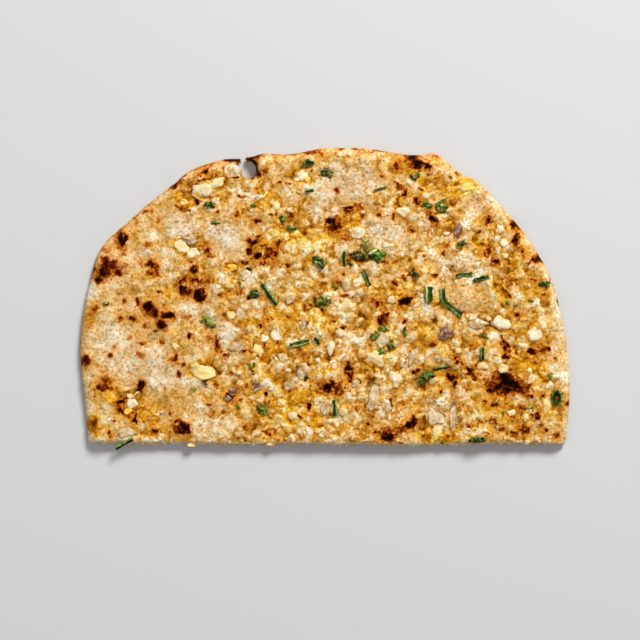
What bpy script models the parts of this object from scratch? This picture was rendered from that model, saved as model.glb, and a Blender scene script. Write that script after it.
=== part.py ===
"""Half of a stuffed cheese naan, cut straight across, in metres with +Z up.

Two thin layers of dough hold a layer of cheese, onion and herbs. They are sealed together
along the round rim and open along the straight cut. Crumbs of cheese, slivers of onion and
chopped herbs have broken through the upper dough and stand out of it.

The origin is under the middle of the bread, on the surface that it lies on. X runs along the
cut, and Y runs from the cut towards the round rim.
"""

import math
import random

import bmesh
import bpy
from mathutils import Matrix, Vector, geometry, noise

MM = 0.001

# Overall size. Places are read off the photograph in its own pixels and turned into metres.
BREAD_WIDTH = 262 * MM
WIDTH_PX = 493.2
PIXEL = BREAD_WIDTH / WIDTH_PX
MIDDLE_PX = (325.1, 299.0)
DISC_CENTRE_PX = (324.6, 395.0)
CUT_PX = 443.6

# Thickness of the whole bread and of each layer, and how far the upper face swells and dips.
THICKNESS = 6.6 * MM
LOWER_DOUGH = 1.5 * MM
FILLING_THICKNESS = 3.3 * MM
GAP = 0.35 * MM
SWELLS = ((24 * MM, 0.85 * MM), (9 * MM, 1.05 * MM))

# The rim is rolled thin: its edge has this middle height and this thickness, and the two faces
# swell from it over these distances.
RIM_SEAM = 1.7 * MM
RIM_EDGE = 1.3 * MM
RIM_SWELL_TOP = 7.0 * MM
RIM_SWELL_BOTTOM = 3.0 * MM
CUT_SWELL = 4.0 * MM
CUT_PRESSED = 0.86
CUT_SWAYS = ((45 * MM, 1.0 * MM), (7 * MM, 0.35 * MM))

# The radius of the round rim, in mm, at each angle in degrees from +X about the disc's centre.
RIM = (
    (-14, 131.5), (-6, 130.8), (0, 131.0), (9, 131.6), (17, 133.0), (28, 135.9), (37, 136.9),
    (47, 138.0), (54, 140.1), (59, 138.6), (65, 141.5), (68, 138.2), (71, 135.5), (80, 133.3),
    (91, 131.4), (98, 129.7), (104, 132.6), (109, 133.4), (113, 136.6), (121, 139.5),
    (126, 138.3), (138, 139.6), (147, 142.7), (155, 138.7), (168, 133.4), (178, 129.2),
    (184, 127.8), (193, 129.0),
)  # fmt: skip

# A blister has burst near the rim and left a hole with a narrow mouth.
TEAR_PX = (
    (240.3, 158.6), (240.0, 161.0), (235.8, 163.6), (240.6, 168.0), (241.4, 173.6),
    (245.6, 178.0), (252.4, 177.6), (256.2, 172.0), (255.0, 165.0), (251.0, 160.8),
    (245.8, 160.4), (244.6, 157.4),
)  # fmt: skip

# The pocket for the filling keeps this far inside the rim, and further away round the tear.
# Its edge is this much thinner than its middle, which it reaches over POCKET_SWELL.
POCKET_INSET = 9.0 * MM
TEAR_ANGLE = 109.0
TEAR_MARGIN = 15.0 * MM
TEAR_MARGIN_ANGLE = 11.0
POCKET_SWELL = 6.0 * MM
POCKET_EDGE = 1.2 * MM
POCKET_RING = 3.0 * MM
POCKET_OVERRUN = 6.0 * MM
FILLING_SIDE_GAP = 3 * GAP
FILLING_SET_BACK = 1.2 * MM

# Spacing of the facets, and how much of it the inner points are shaken by.
RIM_STEP = 4.2 * MM
TOP_STEP = 4.3 * MM
BOTTOM_STEP = 11.0 * MM
POCKET_STEP = 13.0 * MM
POCKET_RIM_STEPS = 56
POCKET_MOUTH_STEPS = 20
SHAKE = 0.12

# Domes in the dough: place, radius and height in mm.
BLISTERS = (
    (471, 297, 10.0, 1.5), (416, 161, 7.0, 1.2), (354, 230, 6.0, 0.8), (148, 308, 6.0, 0.8),
    (104, 270, 6.5, 0.9), (506, 381, 8.5, 0.9), (122, 240, 5.0, 0.8), (255, 248, 10.0, 0.7),
    (181, 428, 5.5, 0.6), (407, 427, 6.0, 0.7), (86, 361, 4.5, 0.6), (190, 240, 5.0, 0.9),
    (433, 222, 6.0, 0.6), (532, 260, 6.0, 0.6), (165, 317, 5.5, 0.7), (330, 386, 5.0, 0.5),
)  # fmt: skip

# Folds pinched up in the dough: from one place to another, half width and height in mm.
FOLDS = (
    (423, 331, 455, 365, 3.4, 1.2),
    (404, 366, 434, 331, 2.8, 0.7),
    (486, 283, 516, 318, 3.2, 0.6),
    (222, 404, 262, 420, 2.6, 0.5),
)

# Lumps of cheese: place, width and length in photograph pixels, and turn in degrees. Each is
# this share of its width high above its middle, which lies just under the face of the dough.
CHEESE_RISE = 0.42
ONION_RISE = 0.24
LEAST_RISE = 1.7 * MM
LUMP_SUNK = 0.25
CHEESE = (
    (204, 189, 18, 14, 0), (184, 201, 10, 9, 20), (183, 247, 13, 10, 30), (299, 176, 13, 9, 35),
    (276, 206, 10, 9, 0), (293, 250, 9, 10, 0), (355, 232, 16, 12, 10), (405, 210, 15, 11, -10),
    (464, 187, 17, 11, -20), (389, 245, 13, 8, 10), (278, 336, 13, 12, 30), (331, 349, 14, 8, 80),
    (264, 339, 9, 8, 0), (202, 371, 23, 12, -12), (132, 406, 13, 11, 60), (147, 415, 14, 8, -20),
    (377, 359, 17, 13, 0), (394, 379, 14, 11, 70), (503, 323, 17, 12, -10), (534, 337, 16, 13, 60),
    (545, 326, 12, 8, -20), (503, 368, 12, 10, 0), (550, 386, 10, 10, 0), (485, 365, 13, 8, 10),
    (309, 433, 13, 9, 75), (435, 417, 18, 16, 0), (110, 398, 9, 8, 0), (231, 268, 10, 9, 0),
    (260, 371, 15, 6, 80), (511, 413, 10, 8, 20),
)  # fmt: skip

# Slivers of onion, in the same form.
ONION = (
    (373, 396, 32, 10, 82), (454, 414, 32, 9, 80), (413, 356, 18, 9, 50), (474, 324, 16, 8, -5),
    (302, 371, 17, 13, 20), (238, 347, 13, 12, 0), (447, 333, 14, 12, -60), (457, 231, 13, 10, 70),
)  # fmt: skip

# Stalks of chive and coriander: both ends in photograph pixels, and width in mm. They taper a
# little, and lie this share of their width above the dough.
STALK_TAPER = 0.84
STALK_LIFT = 0.12
STALKS = (
    (262, 283, 276, 305, 2.2), (201, 317, 214, 327, 2.0), (289, 346, 308, 341, 1.9),
    (311, 333, 319, 345, 1.9), (335, 399, 335, 416, 1.8), (428, 287, 428, 302, 2.4),
    (442, 288, 443, 301, 2.2), (443, 300, 462, 316, 2.4), (482, 347, 482, 361, 1.8),
    (419, 383, 434, 369, 2.6), (363, 269, 369, 286, 1.7), (455, 276, 473, 273, 1.9),
    (474, 275, 489, 283, 1.7), (344, 251, 345, 268, 1.7), (134, 438, 114, 450, 2.3),
    (304, 190, 315, 192, 1.5),
)  # fmt: skip

# Torn leaves: place, length and width in photograph pixels, and turn in degrees. They reach
# from under the dough's face to above it, narrow to both ends and curl up there.
LEAF_UNDER = 0.7 * MM
LEAF_OVER = 0.75 * MM
LEAF_PINCH = 0.45
LEAF_CURL = 0.5 * MM
LEAF_FOLLOWS = 0.35
LEAVES = (
    (376, 255, 20, 9, -25), (366, 245, 11, 7, -30), (442, 207, 14, 8, 65), (427, 205, 11, 6, 0),
    (461, 245, 12, 8, -15), (307, 164, 14, 8, 20), (328, 171, 14, 7, -15), (210, 205, 11, 8, 35),
    (283, 221, 10, 8, 10), (290, 228, 10, 7, -20), (319, 262, 13, 9, 30), (254, 294, 10, 8, 30),
    (323, 303, 14, 10, -40), (414, 273, 11, 8, 0), (544, 285, 12, 8, -20), (508, 304, 9, 7, 0),
    (253, 369, 12, 6, 80), (263, 410, 13, 8, 80), (107, 304, 9, 5, 15), (374, 336, 11, 6, 40),
    (390, 344, 10, 7, -60), (383, 351, 9, 6, -20), (485, 336, 9, 6, -10), (556, 397, 15, 11, 75),
)  # fmt: skip

# What shows of the filling along the cut: crumbs, from its middle height up and down.
CUT_CRUMBS = 58
CRUMB_RADIUS = (0.9 * MM, 1.5 * MM)
CRUMB_HALF_HEIGHT = 1.0 * MM
CRUMB_BACK = (0.1 * MM, 1.3 * MM)
FILLING_WAVE = 0.4 * MM

DOUGH_COLOUR = (0.72, 0.47, 0.21)
DOUGH_ROUGHNESS = 0.62
FILLING_COLOUR = (0.80, 0.62, 0.27)
FILLING_ROUGHNESS = 0.45
SHARP_ANGLE = math.radians(50)


def clear_scene():
    for thing in list(bpy.data.objects):
        bpy.data.objects.remove(thing)


def place(px, py):
    """A point of the photograph, in metres on the bread."""
    return Vector(((px - MIDDLE_PX[0]) * PIXEL, (MIDDLE_PX[1] - py) * PIXEL))


CENTRE = place(*DISC_CENTRE_PX)
CUT_Y = place(0, CUT_PX).y


def rim_radius(angle):
    """The rim's radius in metres, by a smooth curve through the RIM values."""
    last = len(RIM) - 2
    i = max(k for k in range(last + 1) if k == 0 or RIM[k][0] <= angle)
    before, here, after, beyond = (RIM[min(max(i + k, 0), last + 1)] for k in (-1, 0, 1, 2))
    span = after[0] - here[0]
    t = (angle - here[0]) / span
    slope_here = (after[1] - before[1]) / max(after[0] - before[0], span) * span
    slope_after = (beyond[1] - here[1]) / max(beyond[0] - here[0], span) * span
    return MM * (
        here[1] * (2 * t**3 - 3 * t**2 + 1)
        + slope_here * (t**3 - 2 * t**2 + t)
        + after[1] * (3 * t**2 - 2 * t**3)
        + slope_after * (t**3 - t**2)
    )


def rim_point(angle, inset=0.0):
    turn = math.radians(angle)
    return CENTRE + (rim_radius(angle) - inset) * Vector((math.cos(turn), math.sin(turn)))


def corner_angles(inset=0.0):
    """The angles at which the rim meets the line of the cut, at the right and at the left."""

    def off_the_cut(angle):
        return abs(rim_point(angle, inset).y - CUT_Y)

    right = min((k / 10 for k in range(-140, 1)), key=off_the_cut)
    left = min((k / 10 for k in range(1800, 1931)), key=off_the_cut)
    return right, left


def cut_line(right, left, step):
    """Points along the cut from its left corner to its right one, uneven as a knife leaves it."""
    steps = round((right.x - left.x) / step)
    points = []
    for k in range(1, steps):
        x = left.x + (right.x - left.x) * k / steps
        sway = sum(reach * noise.noise(Vector((x / size, 0.3, 0.7))) for size, reach in CUT_SWAYS)
        points.append(Vector((x, CUT_Y + sway)))
    return points


def bread_outline(step):
    """The rim with its tear, and the cut, as two lists of points that follow each other."""
    right, left = corner_angles()
    tear = [place(*p) for p in TEAR_PX]
    tear_angles = [math.degrees(math.atan2(*(p - CENTRE).yx)) for p in (tear[0], tear[-1])]
    turn = math.degrees(step / (BREAD_WIDTH / 2))
    angles = [right + turn * k for k in range(1 + int((left - right) / turn))] + [left]
    low, high = min(tear_angles), max(tear_angles)
    before = [rim_point(a) for a in angles if a < low - turn / 2]
    after = [rim_point(a) for a in angles if a > high + turn / 2]
    rim = before + tear[::-1] + after
    return rim, cut_line(rim[0], rim[-1], step)


def distance_to(point, line):
    """The distance from a point to an open line of points."""
    best = math.inf
    for a, b in zip(line, line[1:]):
        along = b - a
        share = min(max((point - a).dot(along) / along.length_squared, 0.0), 1.0)
        best = min(best, (point - a - along * share).length)
    return best


def swell(distance, reach):
    """A quarter ellipse, from 0 at an edge to 1 where the full thickness is reached."""
    short = 1.0 - min(distance / reach, 1.0)
    return math.sqrt(max(1.0 - short * short, 0.0))


def full_height(point):
    """The height of the upper face away from the edges, with its swells, blisters and folds."""
    height = THICKNESS
    for size, reach in SWELLS:
        height += reach * noise.noise(Vector((point.x / size, point.y / size, 6.5)))
    for px, py, radius, rise in BLISTERS:
        away = (point - place(px, py)).length / (radius * MM)
        if away < 1.0:
            height += rise * MM * (1.0 - away * away) ** 1.5
    for x0, y0, x1, y1, half_width, rise in FOLDS:
        away = distance_to(point, [place(x0, y0), place(x1, y1)]) / (half_width * MM)
        if away < 1.0:
            height += rise * MM * (1.0 - away * away)
    return height


def upper_face(point, rim, cut):
    height = full_height(point)
    height *= CUT_PRESSED + (1.0 - CUT_PRESSED) * swell(distance_to(point, cut), CUT_SWELL)
    edge = RIM_SEAM + RIM_EDGE / 2
    return edge + (height - edge) * swell(distance_to(point, rim), RIM_SWELL_TOP)


def lower_face(point, rim):
    return (RIM_SEAM - RIM_EDGE / 2) * (1.0 - swell(distance_to(point, rim), RIM_SWELL_BOTTOM))


def inside_points(outline, spacing, margin, seed):
    """Points on a slightly shaken triangular grid, inside the outline and clear of it."""
    shake = random.Random(seed)
    closed = outline + outline[:1]
    low = Vector((min(p.x for p in outline), min(p.y for p in outline)))
    high = Vector((max(p.x for p in outline), max(p.y for p in outline)))
    points = []
    row_height = spacing * math.sqrt(3) / 2
    for row in range(int((high.y - low.y) / row_height) + 1):
        start = low.x + (row % 2) * spacing / 2
        for column in range(int((high.x - start) / spacing) + 1):
            point = Vector((start + column * spacing, low.y + row * row_height))
            point += Vector((shake.uniform(-1, 1), shake.uniform(-1, 1))) * spacing * SHAKE
            if crossings(point, closed) % 2 and distance_to(point, closed) > margin:
                points.append(point)
    return points


def crossings(point, closed):
    """How often a line from the point towards +X crosses the closed outline."""
    count = 0
    for a, b in zip(closed, closed[1:]):
        if (a.y > point.y) != (b.y > point.y):
            count += point.x < a.x + (point.y - a.y) * (b.x - a.x) / (b.y - a.y)
    return count


def add_sheet(bm, outline, inner, height):
    """Triangulates the outline with its inner points, and lifts each one to its height."""
    count = len(outline)
    border = [(k, (k + 1) % count) for k in range(count)]
    corners, _, faces, *_ = geometry.delaunay_2d_cdt(outline + inner, border, [], 1, 1e-7)
    verts = [bm.verts.new((p.x, p.y, height(p))) for p in corners]
    for face in faces:
        bm.faces.new([verts[k] for k in face])
    return verts[:count]


def slab(name, outline, upper, lower, upper_points, lower_points):
    """A closed body between an upper and a lower sheet with one outline."""
    bm = bmesh.new()
    top = add_sheet(bm, outline, upper_points, upper)
    bottom = add_sheet(bm, outline, lower_points, lower)
    for k in range(len(outline)):
        j = (k + 1) % len(outline)
        bm.faces.new((top[k], top[j], bottom[j], bottom[k]))
    bmesh.ops.remove_doubles(bm, verts=bm.verts, dist=0.00002)
    bmesh.ops.triangulate(bm, faces=bm.faces)
    bmesh.ops.recalc_face_normals(bm, faces=bm.faces)
    return add_object(name, bm)


def add_object(name, bm):
    mesh = bpy.data.meshes.new(name)
    bm.to_mesh(mesh)
    bm.free()
    made = bpy.data.objects.new(name, mesh)
    bpy.context.scene.collection.objects.link(made)
    return made


def move_to(collection, thing):
    bpy.context.scene.collection.objects.unlink(thing)
    collection.objects.link(thing)


def pocket_inset(angle):
    """The pocket keeps clear of the rim, and further away from the tear."""
    near = max(1.0 - ((angle - TEAR_ANGLE) / TEAR_MARGIN_ANGLE) ** 2, 0.0)
    return POCKET_INSET + TEAR_MARGIN * near


def pocket_outline(inset, mouth_y):
    """A smaller D than the bread's: its closed side, and the straight mouth at mouth_y."""
    right, left = corner_angles(POCKET_INSET + inset)
    step = (left - right) / POCKET_RIM_STEPS
    angles = [right + step * k for k in range(POCKET_RIM_STEPS + 1)]
    rim = [rim_point(a, pocket_inset(a) + inset) for a in angles]
    rim = [p for p in rim if p.y > CUT_Y + 4 * MM]
    step = (rim[0].x - rim[-1].x) / POCKET_MOUTH_STEPS
    mouth = [Vector((rim[-1].x + step * k, mouth_y)) for k in range(POCKET_MOUTH_STEPS + 1)]
    return [mouth[-1], *rim, mouth[0]], mouth[1:-1]


def middle_of_filling(point):
    """The filling lies in gentle waves between the two doughs."""
    wave = noise.noise(Vector((point.x / (30 * MM), point.y / (40 * MM), 9.0)))
    return LOWER_DOUGH + FILLING_THICKNESS / 2 + FILLING_WAVE * wave


def filling_half(point, rim):
    """Half the filling's thickness, which closes towards the rim."""
    return FILLING_THICKNESS / 2 * swell(distance_to(point, rim) + POCKET_EDGE, POCKET_SWELL)


def pocket_body(name, inset, mouth_y, gap, inner):
    """The pocket, or the filling, which is smaller by its gaps. They share their inner points,
    so that they stay apart everywhere."""
    rim, mouth = pocket_outline(inset, mouth_y)

    def half(point):
        return filling_half(point, rim) - gap

    return slab(
        name,
        rim + mouth,
        lambda p: middle_of_filling(p) + half(p),
        lambda p: middle_of_filling(p) - half(p),
        inner,
        inner,
    )


def lump(name, centre, half_sizes, turn, seed, rough=0.22):
    """A rounded, uneven crumb: an icosphere pushed in and out, then stretched and turned."""
    bm = bmesh.new()
    bmesh.ops.create_icosphere(bm, subdivisions=1, radius=1.0)
    for vert in bm.verts:
        vert.co *= 1.0 + rough * noise.noise(vert.co * 1.3 + Vector((seed, 0, 0)))
    stretch = Matrix.Diagonal((*half_sizes, 1.0))
    spin = Matrix.Rotation(math.radians(turn), 4, "Z")
    bm.transform(Matrix.Translation(centre) @ spin @ stretch)
    return add_object(name, bm)


def stalk(name, start, end, width, height_at):
    """A cut chive or stalk: a six-sided rod pressed a third of the way into the bread."""
    bm = bmesh.new()
    long = (end - start).length
    tip = width / 2 * STALK_TAPER
    bmesh.ops.create_cone(bm, cap_ends=True, segments=6, radius1=width / 2, radius2=tip, depth=long)
    low, high = Vector((*start, height_at(start))), Vector((*end, height_at(end)))
    lean = (high - low).to_track_quat("Z", "Y").to_matrix().to_4x4()
    middle = (low + high) / 2
    middle.z = max(middle.z, height_at(middle.xy)) + width * STALK_LIFT
    bm.transform(Matrix.Translation(middle) @ lean)
    return add_object(name, bm)


def leaf(name, centre, length, width, turn, height_at):
    """A torn leaf: a pointed plate with a raised middle, following the bread below it."""
    bm = bmesh.new()
    bmesh.ops.create_circle(bm, cap_ends=True, segments=8, radius=1.0)
    bmesh.ops.poke(bm, faces=bm.faces)
    for vert in bm.verts:
        pinch = 1.0 - LEAF_PINCH * vert.co.x**2
        vert.co = Vector((vert.co.x * length / 2, vert.co.y * width / 2 * pinch, 0))
    lid = bmesh.ops.extrude_face_region(bm, geom=bm.faces[:])
    raised = [e for e in lid["geom"] if isinstance(e, bmesh.types.BMVert)]
    bm.transform(Matrix.Translation((*centre, 0)) @ Matrix.Rotation(math.radians(turn), 4, "Z"))
    ground = height_at(centre)
    for vert in bm.verts:
        outward = (vert.co.xy - centre).length / length
        vert.co.z = ground + LEAF_FOLLOWS * (height_at(vert.co.xy) - ground) + LEAF_CURL * outward**2
        vert.co.z += LEAF_OVER if vert in raised else -LEAF_UNDER
    bmesh.ops.recalc_face_normals(bm, faces=bm.faces)
    return add_object(name, bm)


def boolean(target, operation, operand, kind="OBJECT"):
    modifier = target.modifiers.new(operation.lower(), "BOOLEAN")
    modifier.operation = operation
    modifier.solver = "EXACT"
    modifier.operand_type = kind
    if kind == "OBJECT":
        modifier.object = operand
    else:
        modifier.collection = operand


def apply_modifiers(target):
    """Bakes the modifiers into the mesh, and keeps its largest body."""
    graph = bpy.context.evaluated_depsgraph_get()
    mesh = bpy.data.meshes.new_from_object(target.evaluated_get(graph))
    target.modifiers.clear()
    target.data = mesh
    bm = bmesh.new()
    bm.from_mesh(mesh)
    bmesh.ops.triangulate(bm, faces=bm.faces)
    bmesh.ops.remove_doubles(bm, verts=bm.verts, dist=0.00001)
    bmesh.ops.dissolve_degenerate(bm, edges=bm.edges, dist=0.00001)
    bmesh.ops.triangulate(bm, faces=bm.faces)
    bodies = connected_bodies(bm)
    for body in sorted(bodies, key=len)[:-1]:
        bmesh.ops.delete(bm, geom=body, context="VERTS")
    bm.to_mesh(mesh)
    bm.free()


def connected_bodies(bm):
    unseen = set(bm.verts)
    bodies = []
    while unseen:
        body = []
        edge = [unseen.pop()]
        while edge:
            vert = edge.pop()
            body.append(vert)
            for link in vert.link_edges:
                other = link.other_vert(vert)
                if other in unseen:
                    unseen.remove(other)
                    edge.append(other)
        bodies.append(body)
    return bodies


def finish(target, colour, roughness):
    """Gives the piece its material and smooth shading with sharp edges."""
    material = bpy.data.materials.new(target.name)
    material.use_nodes = True
    shader = material.node_tree.nodes["Principled BSDF"]
    shader.inputs["Base Color"].default_value = (*colour, 1.0)
    shader.inputs["Roughness"].default_value = roughness
    shader.inputs["Metallic"].default_value = 0.0
    target.data.materials.clear()
    target.data.materials.append(material)
    target.data.shade_smooth()
    target.data.set_sharp_from_angle(angle=SHARP_ANGLE)


def add_toppings(collection, height_at):
    """The crumbs, slivers and herbs that stand out of the upper face."""
    for kind, rise, pieces in (("cheese", CHEESE_RISE, CHEESE), ("onion", ONION_RISE, ONION)):
        for k, (px, py, wide, long, turn) in enumerate(pieces):
            spot = place(px, py)
            high = max(min(wide, long) * PIXEL * rise, LEAST_RISE)
            half = (wide * PIXEL / 2, long * PIXEL / 2, high)
            centre = Vector((*spot, height_at(spot) - high * LUMP_SUNK))
            move_to(collection, lump(f"{kind}_{k}", centre, half, turn, seed=3.7 * k))
    for k, (x0, y0, x1, y1, width) in enumerate(STALKS):
        made = stalk(f"stalk_{k}", place(x0, y0), place(x1, y1), width * MM, height_at)
        move_to(collection, made)
    for k, (px, py, long, wide, turn) in enumerate(LEAVES):
        made = leaf(f"leaf_{k}", place(px, py), long * PIXEL, wide * PIXEL, turn, height_at)
        move_to(collection, made)


def make_bread(parts):
    rim, cut = bread_outline(RIM_STEP)
    outline = rim + cut
    edge = [rim[-1], *cut, rim[0]]
    bread = slab(
        "bread",
        outline,
        lambda p: upper_face(p, rim, edge),
        lambda p: lower_face(p, rim),
        inside_points(outline, TOP_STEP, 1.6 * MM, seed=3),
        inside_points(outline, BOTTOM_STEP, 2.6 * MM, seed=4),
    )
    move_to(parts, bread)

    def height_at(point):
        return upper_face(point, rim, edge)

    return bread, height_at


def make_filling(parts, inner):
    """The layer of cheese, with the crumbs that the knife left along its open side."""
    filling = pocket_body("filling", FILLING_SIDE_GAP, CUT_Y + FILLING_SET_BACK, GAP, inner)
    move_to(parts, filling)
    crumbs = bpy.data.collections.new("cut_crumbs")
    bpy.context.scene.collection.children.link(crumbs)
    draw = random.Random(12)
    side = pocket_outline(FILLING_SIDE_GAP, CUT_Y)[0]
    left, right = side[-1].x + POCKET_RING, side[0].x - POCKET_RING
    for k in range(CUT_CRUMBS):
        x = left + (right - left) * (k + draw.uniform(0.2, 0.8)) / CUT_CRUMBS
        radius = draw.uniform(*CRUMB_RADIUS)
        spot = Vector((x, CUT_Y + draw.uniform(*CRUMB_BACK)))
        half = (radius * draw.uniform(1.0, 1.6), radius * 1.1, min(radius * 0.9, CRUMB_HALF_HEIGHT))
        room = FILLING_THICKNESS / 2 - GAP - half[2] * 1.15
        z = middle_of_filling(spot) + draw.uniform(-1, 1) * room
        move_to(crumbs, lump(f"crumb_{k}", Vector((*spot, z)), half, 0, 5.3 * k, rough=0.1))
    return filling, crumbs


def build():
    clear_scene()
    parts = bpy.data.collections.new("cheese_naan")
    cutters = bpy.data.collections.new("cutters")
    toppings = bpy.data.collections.new("toppings")
    for collection in (parts, cutters, toppings):
        bpy.context.scene.collection.children.link(collection)

    bread, height_at = make_bread(parts)

    side, mouth = pocket_outline(FILLING_SIDE_GAP, CUT_Y + FILLING_SET_BACK)
    inner = inside_points(side + mouth, POCKET_STEP, 7.0 * MM, seed=5)
    inner += pocket_outline(FILLING_SIDE_GAP + POCKET_RING, CUT_Y)[0][1:-1]
    pocket = pocket_body("pocket", 0.0, CUT_Y - POCKET_OVERRUN, 0.0, inner)
    move_to(cutters, pocket)
    pocket.hide_render = True
    pocket.display_type = "WIRE"

    add_toppings(toppings, height_at)
    boolean(bread, "UNION", toppings, "COLLECTION")
    boolean(bread, "DIFFERENCE", pocket)
    apply_modifiers(bread)

    filling, crumbs = make_filling(parts, inner)
    boolean(filling, "UNION", crumbs, "COLLECTION")
    apply_modifiers(filling)

    for collection in (toppings, crumbs):
        for thing in list(collection.objects):
            bpy.data.objects.remove(thing)

    finish(bread, DOUGH_COLOUR, DOUGH_ROUGHNESS)
    finish(filling, FILLING_COLOUR, FILLING_ROUGHNESS)


build()
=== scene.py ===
"""Half of a naan filled with cheese, seen from straight above as in the photograph."""

import math

import bpy
import numpy as np
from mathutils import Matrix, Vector, noise


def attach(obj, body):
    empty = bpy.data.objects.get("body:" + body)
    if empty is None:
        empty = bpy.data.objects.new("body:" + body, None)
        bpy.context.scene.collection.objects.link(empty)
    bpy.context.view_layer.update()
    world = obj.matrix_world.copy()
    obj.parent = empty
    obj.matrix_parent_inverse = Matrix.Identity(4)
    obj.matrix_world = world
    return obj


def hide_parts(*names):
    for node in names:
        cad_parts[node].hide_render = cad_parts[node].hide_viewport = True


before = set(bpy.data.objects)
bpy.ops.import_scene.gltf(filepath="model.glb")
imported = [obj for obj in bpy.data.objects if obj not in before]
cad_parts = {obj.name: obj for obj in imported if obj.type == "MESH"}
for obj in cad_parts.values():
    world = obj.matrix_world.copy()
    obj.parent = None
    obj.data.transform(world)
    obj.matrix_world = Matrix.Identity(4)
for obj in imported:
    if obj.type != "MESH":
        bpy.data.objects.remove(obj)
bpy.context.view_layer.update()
bpy.ops.object.select_all(action="DESELECT")

# The lower dough.
# A thin round of leavened dough, rolled by hand, so its rim wanders. It lies flat, is browned in
# blotches underneath, and turns up at its rim, where the upper dough is pinched onto it. The naan
# was cut with one stroke of a knife, and a blister near its rim has burst and left a hole.
# Lengths are in mm. Places are in the photograph's pixels, which are this large on the bread.
PIXEL = 262 / 493.2
MIDDLE_PX = (325.1, 299.0)
DISC_CENTRE_PX = (324.6, 395.0)
CUT_PX = 443.6
RIM = (
    (-14, 131.5), (-6, 130.8), (0, 131.0), (9, 131.6), (17, 133.0), (28, 135.9), (37, 136.9),
    (47, 138.0), (54, 140.1), (59, 138.6), (65, 141.5), (68, 138.2), (71, 135.5), (80, 133.3),
    (91, 131.4), (98, 129.7), (104, 132.6), (109, 133.4), (113, 136.6), (121, 139.5),
    (126, 138.3), (138, 139.6), (147, 142.7), (155, 138.7), (168, 133.4), (178, 129.2),
    (184, 127.8), (193, 129.0),
)  # fmt: skip
RIM_WOBBLE = ((2.3, 0.25), (0.9, 0.12))
CUT_SWAYS = ((45, 1.0), (7, 0.35))
CUT_FRAY = 0.2
TEAR_PX = (
    (239.4, 152.0), (240.3, 158.6), (240.0, 161.0), (235.8, 163.6), (240.6, 168.0),
    (241.4, 173.6), (245.6, 178.0), (252.4, 177.6), (256.2, 172.0), (255.0, 165.0),
    (251.0, 160.8), (245.8, 160.4), (244.6, 157.4), (245.4, 152.0),
)  # fmt: skip
POCKET_INSET = 9.0
POCKET_FLOOR = 1.5
RIM_SEAM = 1.7
RIM_EDGE = 1.3
RIM_SWELL_BOTTOM = 3.0
LOWER_CELL = 1.1
GRID_LOW = (-133.0, -79.5)
GRID_HIGH = (133.0, 83.0)


def mm(px, py):
    """A place in the photograph, in mm on the bread."""
    return (px - MIDDLE_PX[0]) * PIXEL, (MIDDLE_PX[1] - py) * PIXEL


def ripples(x, y, size, seed):
    """Noise without direction, with swells of this size in mm, from about -1 to 1."""
    turns = np.random.default_rng(seed).uniform(0, 2 * math.pi, (512, 512))
    u, v = x / size + 256, y / size + 256
    i, j = np.floor(u).astype(int), np.floor(v).astype(int)
    u, v = u - i, v - j

    def corner(di, dj):
        turn = turns[(i + di) % 512, (j + dj) % 512]
        return np.cos(turn) * (u - di) + np.sin(turn) * (v - dj)

    su, sv = (t * t * t * (t * (t * 6 - 15) + 10) for t in (u, v))
    near = corner(0, 0) * (1 - su) + corner(1, 0) * su
    far = corner(0, 1) * (1 - su) + corner(1, 1) * su
    return 1.5 * (near * (1 - sv) + far * sv)


def smooth_step(low, high, value):
    t = np.clip((value - low) / (high - low), 0, 1)
    return t * t * (3 - 2 * t)


def swell(distance, reach):
    """A quarter ellipse, from 0 at an edge to 1 where the full thickness is reached."""
    return np.sqrt(np.clip(1 - (1 - np.clip(distance / reach, 0, 1)) ** 2, 0, 1))


def rim_radius(angle):
    """The rim's radius, by a smooth curve through the RIM values."""
    last = len(RIM) - 2
    i = max(k for k in range(last + 1) if k == 0 or RIM[k][0] <= angle)
    before, here, after, beyond = (RIM[min(max(i + k, 0), last + 1)] for k in (-1, 0, 1, 2))
    span = after[0] - here[0]
    t = (angle - here[0]) / span
    slope_here = (after[1] - before[1]) / max(after[0] - before[0], span) * span
    slope_after = (beyond[1] - here[1]) / max(beyond[0] - here[0], span) * span
    value = here[1] * (2 * t**3 - 3 * t**2 + 1) + slope_here * (t**3 - 2 * t**2 + t)
    return value + after[1] * (3 * t**2 - 2 * t**3) + slope_after * (t**3 - t**2)


CENTRE = mm(*DISC_CENTRE_PX)
CUT_Y = mm(0, CUT_PX)[1]
TEAR = [mm(*place) for place in TEAR_PX]
angles = np.linspace(-14, 193, 1600)
radii = np.array([rim_radius(angle) for angle in angles])
for size, reach in RIM_WOBBLE:
    radii += reach * (ripples(angles, 0.5 + 0 * angles, size, 3) - 0.6)
slopes = np.gradient(radii, np.radians(angles)) / radii
cut_places = np.linspace(-140, 140, 1200)
cut_line = CUT_Y + CUT_FRAY * ripples(cut_places, 0.5 + 0 * cut_places, 1.6, 4)
for size, reach in CUT_SWAYS:
    cut_line += reach * np.array([noise.noise(Vector((v / size, 0.3, 0.7))) for v in cut_places])


def rim_angle(x, y):
    angle = np.degrees(np.arctan2(y - CENTRE[1], x - CENTRE[0]))
    return np.where(angle < -90, angle + 360, angle)


def rim_distance(x, y):
    """How far inside the round rim a point lies."""
    angle = rim_angle(x, y)
    inside = np.interp(angle, angles, radii) - np.hypot(x - CENTRE[0], y - CENTRE[1])
    return inside / np.sqrt(1 + np.interp(angle, angles, slopes) ** 2)


def cut_distance(x, y):
    """How far behind the cut a point lies."""
    return y - np.interp(x, cut_places, cut_line)


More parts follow.
